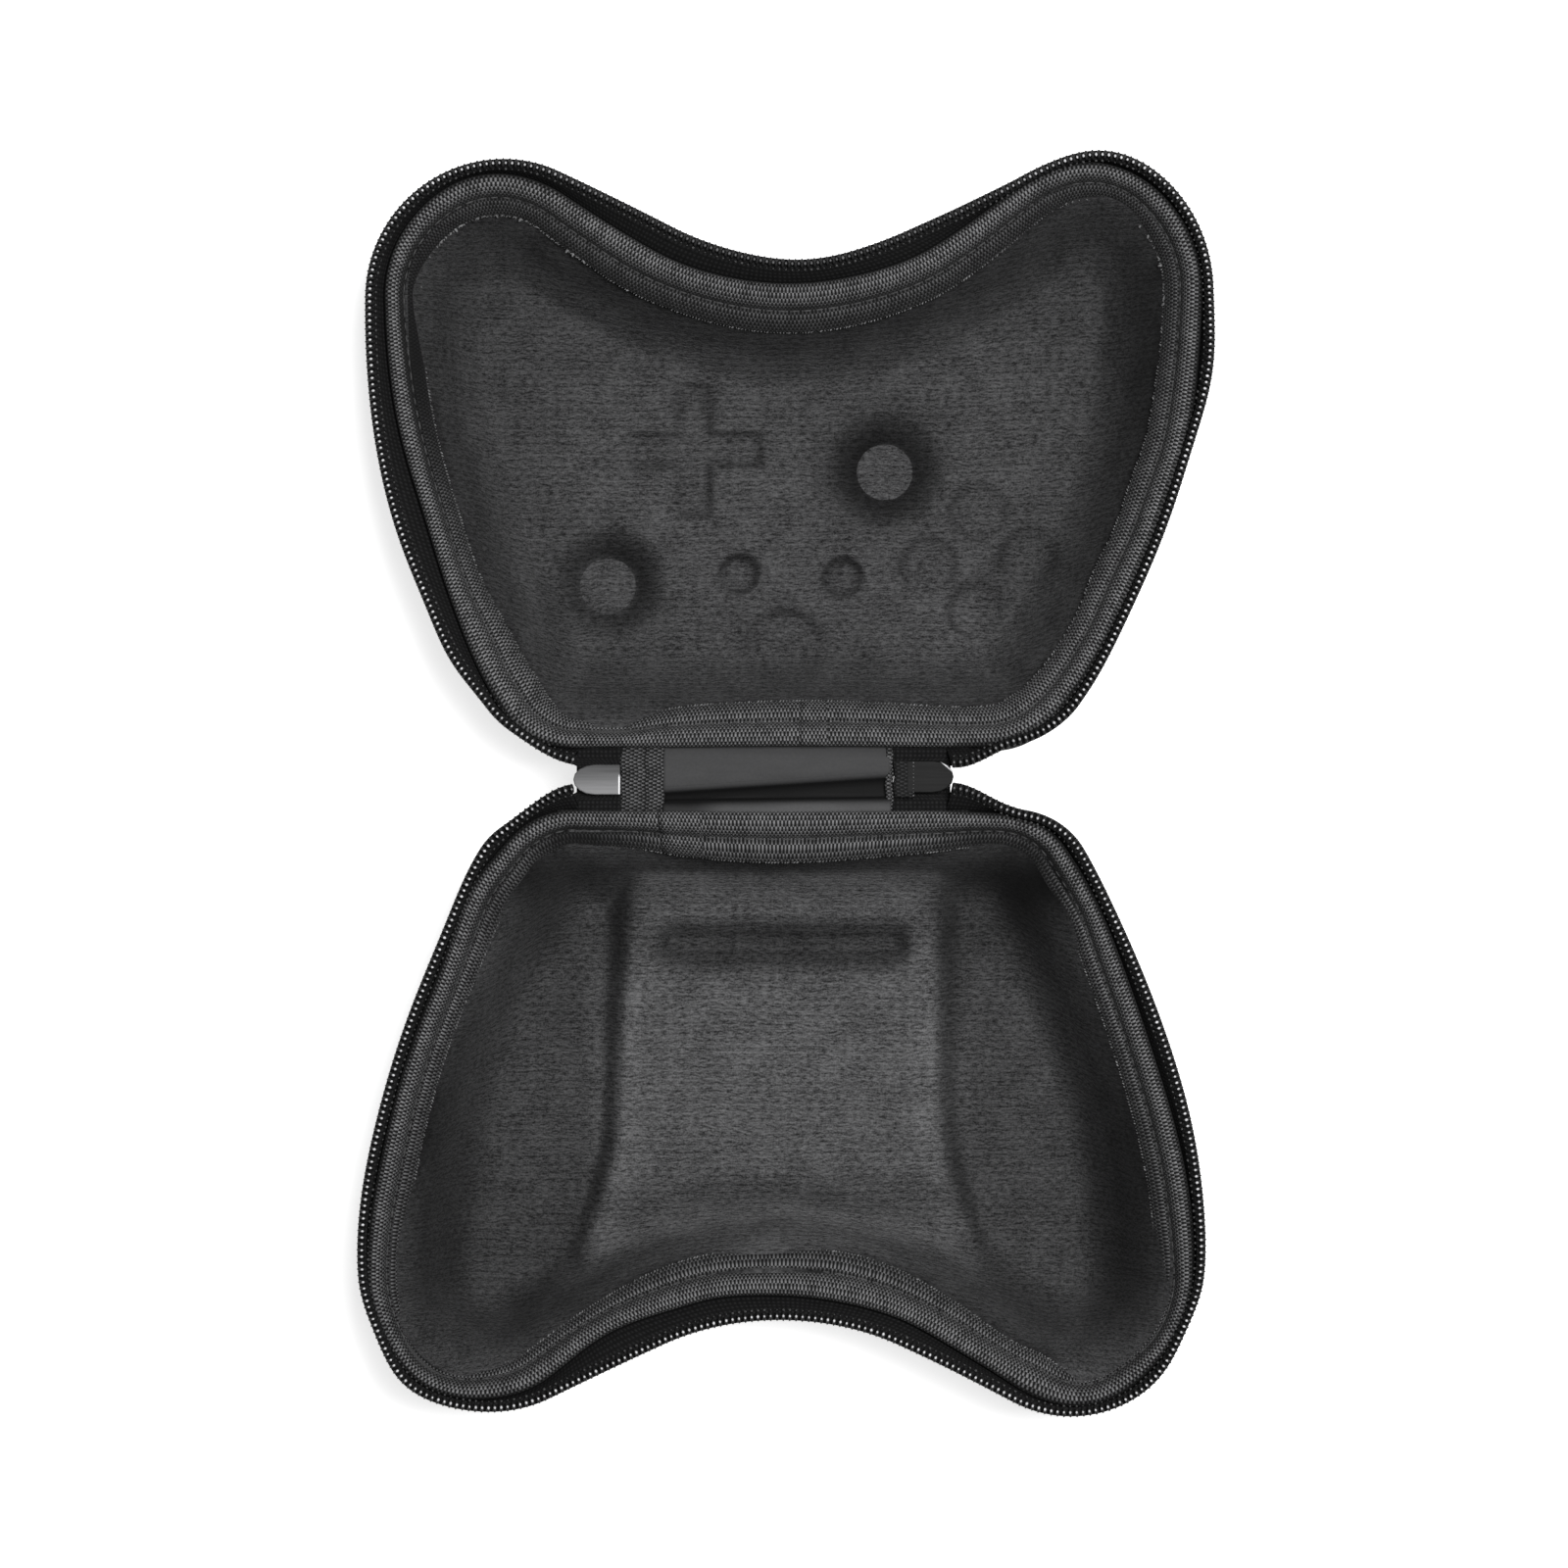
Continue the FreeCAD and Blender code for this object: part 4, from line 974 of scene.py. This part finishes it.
zipper = {
    # section of the tape: run on the rim line, inset on the zip line, how far towards the zip, and height
    "outer": [(3.4, 0, 0, 22.6), (2.0, 0, 0, 25.6), (-0.2, 0, 0, 28.6), (-1.35, 0, 0, 30.4),
              (-1.5, 1.2, 0.35, 32.0), (-1.2, 0.7, 0.75, 33.4), (0, 0.35, 1, 34.5)],
    "inner": [(0, 2.3, 1, 34.8), (-0.4, 2.1, 0.75, 33.9), (-0.85, 1.8, 0.35, 32.5), (-0.75, 0, 0, 30.9),
              (0.4, 0, 0, 28.4), (2.7, 0, 0, 25.4), (4.1, 0, 0, 22.6)],
    "seam": (1.45, 26.2),
    # at its start and its end the chain bends in to a slider: how far, and from where to where past the end
    "gather": {"lid": [(4.0, 1, 14), (3.8, -3, 13)], "base": [(5.4, -1, 13.5), (5.6, 0, 15)]},
    "stitch": {"Spacing": 2.6, "Length": 0.45, "Width": 2.2, "Height": 0.45, "Stray": 0.05, "Uneven": 0.1,
               "Seed": 7},
    # what runs along the chain, by its inset and height: the teeth, the bends over them with painted
    # highlights, the sewing thread
    "Teeth": (1.3, 35.6, {"Spacing": 1.31, "Length": 2.5, "Width": 1.0, "Height": 1.9, "Head": 0.95,
                          "Out": 0.1, "Stray": 0.03, "Uneven": 0.02, "Seed": 5}),
    "CoilBends": (1.45, 36.52, {"Spacing": 1.31, "Length": 1.0, "Width": 0.8, "Height": 0.4, "Stray": 0.04,
                                "Uneven": 0.15, "Seed": 15}),
    "CoilThread": (2.7, 36.1, {"Spacing": 1.31, "Length": 0.4, "Width": 0.45, "Height": 0.3, "Stray": 0.1,
                               "Uneven": 0.4, "Seed": 16}),
}


def placeZip(half, points):
    start, end = zipEnds(half)
    moved = points.copy()
    for sign, far, (deep, near, reach) in zip((1, -1), (start, -end), zipper["gather"][half]):
        beyond = points[:, 0] * sign - far
        moved[:, 1] -= deep * smooth(reach, near, beyond) * (beyond > -5) * smooth(34, 20, points[:, 1])
    return place(half, moved, True)


def buildZip(half):
    columns = openColumns(half, zipLine(0, 2.0))
    rows = []
    for run, inset, towards, height in zipper["outer"] + zipper["inner"]:
        line = rimLine(run, 2.0) * (1 - towards) + zipLine(inset, 2.0) * towards
        row = level(line[columns], height)
        rows.append(place(half, row) * (1 - towards) + placeZip(half, row) * towards)
    tape = sweep(half + "ZipTape", rows, ring=False, tube=True)
    dress(tape, tapeWeave, half, half + "_zip_tape")
    for kind, look in (("Teeth", coilNylon), ("CoilBends", coilNylon), ("CoilThread", seamThread)):
        inset, height, sizes = zipper[kind]
        line = zipLine(inset, 3.0)
        path = placeZip(half, level(line[openColumns(half, line)], height))
        node = half + "_zip_coil" if kind == "Teeth" else None
        bitsAlong(half + kind, [path], sizes, look, half, node)
    run, height = zipper["seam"]
    line = rimLine(run, 2.0)
    path = place(half, level(line[openColumns(half, line)], height))
    bitsAlong(half + "TapeStitches", [path], zipper["stitch"], seamThread, half)
    print(half, "zip built")


for half in ("base", "lid"):
    buildZip(half)


# Spots of painted shade on the cloth, or of painted light where the share is below 0; markOpenness says how
paintedShadeSpots = {
    "lidKnit": [(36, 31, 8, 8, -0.3, 90), (19.7, 65.8, 11, 11, 0.85, 90), (-38.7, 41.9, 8, 8, 0.2, 90),
                (77, 84, 9, 34, 0.5, 90), (0, 75, 200, 60, 0.5, -21)],
    "baseKnit": [(55, -21, 14, 11, 1.0, 90), (-55, -19, 12, 10, 0.88, 90), (-36.6, -58, 4, 26, -1.7, 90),
                 (-45, -27, 5, 4, -0.5, 90), (43, -27, 5, 4, -0.5, 90), (33, -58, 5, 26, -0.6, 90),
                 (-90, -70, 40, 80, 0.5, -21), (90, -70, 40, 80, 0.5, -21), (0, -33, 30, 3.2, 0.45, 90),
                 (0, -95, 34, 5, -0.5, 90), (-73, -84, 8, 34, 0.4, 90), (73, -84, 9, 34, 0.5, 90),
                 (-62, -108, 10, 10, -0.3, 90), (60, -108, 10, 10, -0.3, 90)],
    "lidBinding": [(0, 130, 300, 80, 0.6, 31.2), (-78, 86, 14, 40, 0.95, 32.5), (0, 101, 40, 9, 0.15, 90)],
    "baseBinding": [(0, -112, 60, 16, 0.25, 31.2), (-43, -11, 16, 9, 0.9, 32.6), (-64, -20, 9, 14, 0.8, 32.6),
                    (58, -13, 16, 12, 0.95, 32.6), (38, -9, 9, 7, 0.6, 32.6), (-86, -80, 24, 45, 0.4, 31.2),
                    (86, -80, 24, 45, 0.4, 31.2), (-78, -122, 16, 14, 0.4, 32.4),
                    (80, -122, 16, 14, 0.4, 32.4)],
}
for half in ("base", "lid"):
    above = cover([half + "Knit", half + "Binding", half + "ZipTape"])
    for piece, kind in (("Knit", half), ("Binding", "tape"), ("BindingLap", "tape")):
        markOpenness(bpy.data.objects[half + piece], kind, above, paintedShadeSpots.get(half + piece, ()))
    print(half, "cloth shaded where it lies deep")


# Hinge strip, its ends, and the tape tails under the sliders

strip = {
    "left": -25.4, "right": 21.6, "columns": 72,
    # from the lid's rim to the base's: Y, height, and how much light it takes, painted into its colour as
    # light and shade
    "section": [(8.2, 28.6, 0.5), (6.0, 29.9, 0.54), (4.4, 30.5, 0.56), (2.0, 30.7, 0.56), (0.4, 30.7, 0.54),
                (-0.7, 30.5, 0.45), (-1.0, 29.6, 0.05), (-2.0, 29.0, 0.04), (-3.6, 28.8, 0.035),
                (-4.5, 29.2, 0.04), (-4.8, 30.2, 0.3), (-5.2, 31.2, 0.8), (-6.4, 31.5, 0.95),
                (-7.4, 31.4, 0.85), (-8.2, 30.6, 0.5)],
    "lean": (0.067, 0.014),  # the fold climbs to the right, and its lower edge does less
    "dim": (0.6, -12, -20),  # painted shade: its near edge is darker at the left end, past these X
    "thickness": 0.5, "cut": (0.047, 0.0115),  # the half by the base, laid flat, in metres
    "lidBend": (4.5, 8.0), "baseBend": (-8.0, -5.5),
}


def stripSurface(x, y, z):
    upper, lower = strip["lean"]
    lean = upper * smooth(5.0, 0.5, y) * smooth(-4.2, -2.4, y)
    lean = lean + lower * smooth(-2.4, -4.2, y) * smooth(-8.2, -6.0, y)
    bend = smooth(4.5, 0.5, y) * smooth(-6.0, -4.5, y)
    slack = 0.30 * np.sin(x / 6.5 + 0.8) * bend + 0.10 * np.sin(x / 2.7) * bend
    return x, y + lean * (x + 2), z + slack


def bendOver(thing, places):
    # Bakes the piece's transform into its mesh
    start, end = [(0, y * millimetre, 0) for y in places]
    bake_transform(thing)


def buildStrip():
    section = rounded(strip["section"])
    xs = np.linspace(strip["left"], strip["right"], strip["columns"])
    fold = [0.0] + [np.interp(0.0, section[::-1, 0], section[::-1, column]) for column in (1, 2)]
    lidPart = np.array([point for point in section if point[0] > -0.05] + [fold])
    basePart = np.array([fold] + [point for point in section if point[0] < 0.05])
    above = cover(["lidBinding", "baseBinding"])
    for name, part, bodies, places in (("hingeStripLid", lidPart, ("spine", "lid"), strip["lidBend"]),
                                       ("hingeStripBase", basePart, ("base", "spine"), strip["baseBend"])):
        sheet = sweep(name, [[stripSurface(x, y, z) for x in xs] for y, z, light in part], ring=False)
        free = markOpenness(sheet, "strip", above)
        share, near, far = strip["dim"]
        dim = np.where(part[:, 0] < -4.9, share, 0.0)[:, None] * smooth(near, far, xs)
        light = (part[:, 2:] * (1 - dim)).ravel()
        # painted light and shade: sky openness times the light given for each row
        sheet.data.attributes["open"].data.foreach_set("value", free * light)
        thicken(sheet, strip["thickness"])
        dress(sheet, stripCoating)
        bendOver(sheet, places)
        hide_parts("hinge_strip")
    print("hinge strip laid")


buildStrip()

# The strip's woven ends, as flat loops with round long edges: from X to X, how thick, how far each way
# along Y, and how far the middle swells
stripEnds = {
    "endLeftTape": (-34.2, -28.9, 0.75, 7.6, 0.3, endWeave),
    "endLeftFold": (-29.1, -25.2, 1.05, 7.6, 0.2, endWeave),
    "endRightFold": (20.6, 22.2, 0.6, 7.6, 0.1, endWeave),
    "endRightTape": (22.3, 26.5, 2.4, 3.7, 0.1, darkEndWeave),
    "height": 30.3, "under": -0.8,
    "threads": {"Spacing": 0.75, "Length": 0.35, "Width": 0.30, "Height": 0.3, "Turn": 0.2, "Stray": 0.8,
                "Uneven": 0.5, "Seed": 31},
    # X, from Y to Y, and height
    "endRightThreads": (21.5, -3.6, 4.4, 31.1), "endRightEdge": (26.3, -3.4, 3.4, 32.9),
}


def buildEnd(name, node):
    low, high, top, reach, swell, look = stripEnds[name]
    wide, middle = (high - low) / 2, (high + low) / 2
    under, foot = stripEnds["under"], stripEnds["height"]
    loop = rounded([(-wide, 0), (-wide, top), (0, top + swell), (wide, top), (wide, 0), (wide, under),
                    (-wide, under), (-wide, 0)], 2)[:-1]
    ys = np.linspace(-reach, reach, 15)
    rows = [[(middle + a + 0.15 * math.sin(y * 1.3), y, foot + b) for y in ys] for a, b in loop]
    end = sweep(name, rows, ring=False, tube=True)
    markOpenness(end, "strip", cover(["lidBinding", "baseBinding"]))
    dress(end, look, "spine", node)


for name in ("endLeftTape", "endLeftFold", "endRightFold", "endRightTape"):
    buildEnd(name, "strip_end_left" if "Left" in name else "strip_end_right")
for name in ("endRightThreads", "endRightEdge"):
    x, low, high, z = stripEnds[name]
    bitsAlong(name, [[(x, low, z), (x, high, z)]], stripEnds["threads"], frayThread, "spine")

tail = {
    "section": [(0.6, 30.2), (3.0, 30.3), (5.0, 30.6), (6.6, 31.0), (8.2, 30.0)], "bend": (3.6, 7.2),
    "Left": (-43.3, -33.5), "Right": (22.0, 34.0), "slant": 2.6, "slantMost": 4.0, "thickness": 0.6,
}


def buildTail(half, side):
    # The tape's tail runs from the rim into the slot of the slider; its free corner follows the chain
    sign = 1 if half == "lid" else -1
    start, end = tail[side]
    rows = []
    for y, z in rounded(tail["section"], 2):
        slant = min(tail["slant"] * max(y - 2.8, 0), tail["slantMost"])
        xs = np.linspace(start - slant * (side == "Left"), end + slant * (side == "Right"), 16)
        rows.append([(x, sign * y, z + 0.2 * math.sin(x * 0.9)) for x in xs])
    cloth = sweep(half + "Tail" + side, rows, ring=False, facing=sign)
    thicken(cloth, tail["thickness"])
    dress(cloth, tapeWeave)
    near, far = [sign * y for y in tail["bend"]]
    if half == "lid":
        bendOver(cloth, (near, far))
    else:
        bendOver(cloth, (far, near))


for half in ("base", "lid"):
    for side in ("Left", "Right"):
        buildTail(half, side)
print("tails laid")


# Sliders and pulls

slider = {
    "middle": -4.65, "span": 78.5, "length": 9.7, "half": {"left": 3.1, "right": 3.3},
    "shift": {"left": -0.1, "right": 0.5},
    "height": 30.4, "tall": 2.4, "plate": 0.9, "post": (0.4, 2.4), "postHalf": (0.9, 0.4),
    "rail": (-1.0, 0.3), "railWall": (0.95, 0.25), "railTall": 1.55,
    "bailHalf": 2.6, "bailDeep": 2.2, "bailBar": 0.9, "bailWide": 1.0,
}
pull = {
    "length": 21.0, "half": 3.1, "thick": 1.2, "pivot": 3.5,
    "eye": (1.4, -0.6, -5.0), "ribs": 4, "ribFrom": 4.2, "ribStep": 1.7, "ribWide": 0.7, "ribRise": 0.25,
}


def buildSlider(side):
    turn = 1 if side == "left" else -1
    length, tall, plate, high = [slider[size] for size in ("length", "tall", "plate", "height")]
    middle = slider["middle"] - (slider["span"] - length) / 2 * turn
    wide = slider["half"][side]

    def part(name, plan, low, height, edge=None):
        plan = [(middle + x * turn, y * turn + slider["shift"][side]) for x, y in plan]
        thing = prism(name, plan, high + low, high + low + height)
        return soften(thing, *edge) if edge else thing

    # plan of a plate: square at the back, a rounded nose in front, towards -X
    turns = [step / 8 * math.pi for step in range(9)]
    plan = [(length / 2, -wide), (length / 2, wide)]
    plan += [(-length * (0.05 + 0.45 * math.sin(t)), wide * math.cos(t)) for t in turns]
    things = [part("plate", plan, low, plate, (0.28, 3)) for low in (-tall, tall - plate)]
    (near, far), (broad, narrow) = slider["post"], slider["postHalf"]
    post = [(near, -broad), (far, -narrow), (far, narrow), (near, broad)]
    things.append(part("post", [(x - length / 2, y) for x, y in post], 0.2 - tall, 2 * tall - 0.4))
    (back, front), (inside, outside) = slider["rail"], slider["railWall"]
    for edge in (-1, 1):
        inner, outer = edge * (wide - inside), edge * (wide - outside)
        rail = [(back, inner), (length / 2 - front, inner), (length / 2 - front, outer), (back, outer)]
        things += [part("rail", rail, low, slider["railTall"], (0.15, 2)) for low in (0.2 - tall, 0.65)]
    inner, bar = slider["bailHalf"], slider["bailBar"]
    outer, top, foot = inner + bar, high - tall + 0.3, high - tall - slider["bailDeep"] - bar
    hoop = [(-outer, top), (-outer, foot + 1.1), (-inner, foot), (inner, foot), (outer, foot + 1.1),
            (outer, top), (inner, top), (inner, foot + 1.3), (inner - 0.5, foot + bar),
            (0.5 - inner, foot + bar), (-inner, foot + 1.3), (-inner, top)]
    hoop = [(middle + x, z) for x, z in hoop]
    things.append(soften(prism("bail", hoop, -slider["bailWide"], slider["bailWide"], flatAxis=1), 0.25, 2))
    whole = joined("slider" + side.capitalize(), things)
    dress(whole, paintedGlareMetal if side == "left" else darkMetal, "spine", "slider_" + side)
    return middle


def buildPull(side, middle):
    # A flat tab: round eye plate, narrow waist and a tip with raised ribs
    drop = slider["height"] - pull["pivot"]
    wide, thick, length = pull["half"], pull["thick"] / 2, pull["length"]
    edge = [(1.9, 0.6), (2.3, -1.5), (2.3, -4.8), (1.9, -6.6), (wide, -9.5), (wide, 3 - length),
            (1.4, -length)]
    outer = rounded([(-x, z) for x, z in edge] + edge[::-1] + [(-edge[0][0], edge[0][1])], 2)[:-1]
    eye, top, low = pull["eye"]
    hole = [(eye, top), (eye, low), (-eye, low), (-eye, top)]
    work = bmesh.new()
    for depth in (-thick, thick):
        edges = []
        for loop in (outer, hole):
            points = [work.verts.new((depth * millimetre, a * millimetre, b * millimetre)) for a, b in loop]
            edges += [work.edges.new((points[i], points[(i + 1) % len(points)])) for i in range(len(points))]
        bmesh.ops.triangle_fill(work, edges=edges, use_beauty=True)
    work.verts.ensure_lookup_table()
    total = len(work.verts) // 2
    for first, count in ((0, len(outer)), (len(outer), len(hole))):
        for i in range(count):
            a, b = first + i, first + (i + 1) % count
            work.faces.new([work.verts[k] for k in (a, b, total + b, total + a)])
    bmesh.ops.recalc_face_normals(work, faces=work.faces)
    bmesh.ops.translate(work, verts=work.verts, vec=(middle * millimetre, 0, drop * millimetre))
    mesh = bpy.data.meshes.new("pull")
    work.to_mesh(mesh)
    work.free()
    things = [soften(newObject("pullTab", mesh), 0.3, 2)]
    out = thick + pull["ribRise"]
    for step in range(pull["ribs"]):
        low = drop - length + pull["ribFrom"] + step * pull["ribStep"]
        high = low + pull["ribWide"]
        bar = [(0.9 - wide, low), (wide - 0.9, low), (wide - 0.9, high), (0.9 - wide, high)]
        things.append(soften(prism("rib", bar, middle - out, middle + out, flatAxis=0), 0.15, 2))
    whole = joined("pull" + side.capitalize(), things)
    dress(whole, darkMetal, "pull_tab_" + side, "pull_" + side)


# The last teeth at each end of the hinge, which stay closed
closedTeeth = {"Spacing": 0.7, "Length": 4.6, "Width": 0.55, "Height": 2.0, "Stray": 0.02, "Uneven": 0.02,
               "Seed": 9}

for side in ("left", "right"):
    buildPull(side, buildSlider(side))
    low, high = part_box("chain_end_" + side)
    path = [(x, 0, slider["height"]) for x in (low[0] / millimetre + 0.3, high[0] / millimetre - 0.3)]
    name = "closedTeeth" + side.capitalize()
    bitsAlong(name, [path], closedTeeth, coilNylon, "spine", "chain_end_" + side)
print("sliders and pulls built")


# Floor, light and camera

studio = {
    "middle": (-0.0004, -0.001), "wide": 0.3234, "far": 0.95, "rim": 0.033,
    "lamp": 19.0, "lampSize": 0.45, "lampAt": (0.26, 0.20, 1.25), "world": 0.07,
    "floorColour": 0.9, "floorGlow": 0.75, "reach": 3000, "low": -0.5, "sensor": 36,  # from reach on in mm
}


def seenRays(graph):
    # 1 for a ray that looks at the surface straight, in a reflection or through something clear
    path = graph.tree.nodes.new("ShaderNodeLightPath")
    camera, glossy, clear = [Wire(graph, path.outputs[name]) for name in (
        "Is Camera Ray", "Is Glossy Ray", "Is Transmission Ray")]
    return (camera + glossy + clear).work("MINIMUM", 1.0)


def buildStudio():
    reach, low = studio["reach"], studio["low"]
    corners = [(x * reach, y * reach, low) for x, y in ((-1, -1), (1, -1), (1, 1), (-1, 1))]
    plane = newMesh("floor", corners, faces=[(0, 1, 2, 3)])
    look = Look("paleFloor", 0.9, Specular_IOR_Level=0.0)
    look.paint("Base Color", (studio["floorColour"],) * 3 + (1,))
    glow = look.add("ShaderNodeEmission", {}, (1, 1, 1, 1), seenRays(look) * studio["floorGlow"])
    both = look.add("ShaderNodeAddShader", {}, glow, Wire(look, look.shader.outputs[0]))
    look.tree.links.new(both.socket, look.tree.nodes["Material Output"].inputs[0])
    plane.materials.append(look.material)
    newObject("floor", plane)

    scene = bpy.context.scene
    world = bpy.data.worlds.new("studio")
    world.use_nodes = True
    scene.world = world
    graph = Graph(world.node_tree)
    background = graph.tree.nodes["Background"]
    graph.feed(background.inputs["Color"], (1, 1, 1, 1))
    graph.feed(background.inputs["Strength"], seenRays(graph) * (1 - studio["world"]) + studio["world"])

    lamp = bpy.data.lights.new("softbox", "AREA")
    lamp.energy = studio["lamp"]
    lamp.size = studio["lampSize"]
    light = newObject("softbox", lamp)
    x, y, z = light.location = studio["lampAt"]
    light.rotation_euler = (math.atan2(y, z), math.atan2(x, math.hypot(y, z)), 0)

    camera = bpy.data.cameras.new("camera")
    camera.sensor_width = studio["sensor"]
    camera.lens = studio["sensor"] * studio["far"] / studio["wide"]
    camera.clip_start = 0.01
    scene.camera = newObject("camera", camera)
    scene.camera.location = (*studio["middle"], studio["far"] + studio["rim"])
    scene.view_settings.view_transform = "Standard"


buildStudio()
print("studio set")
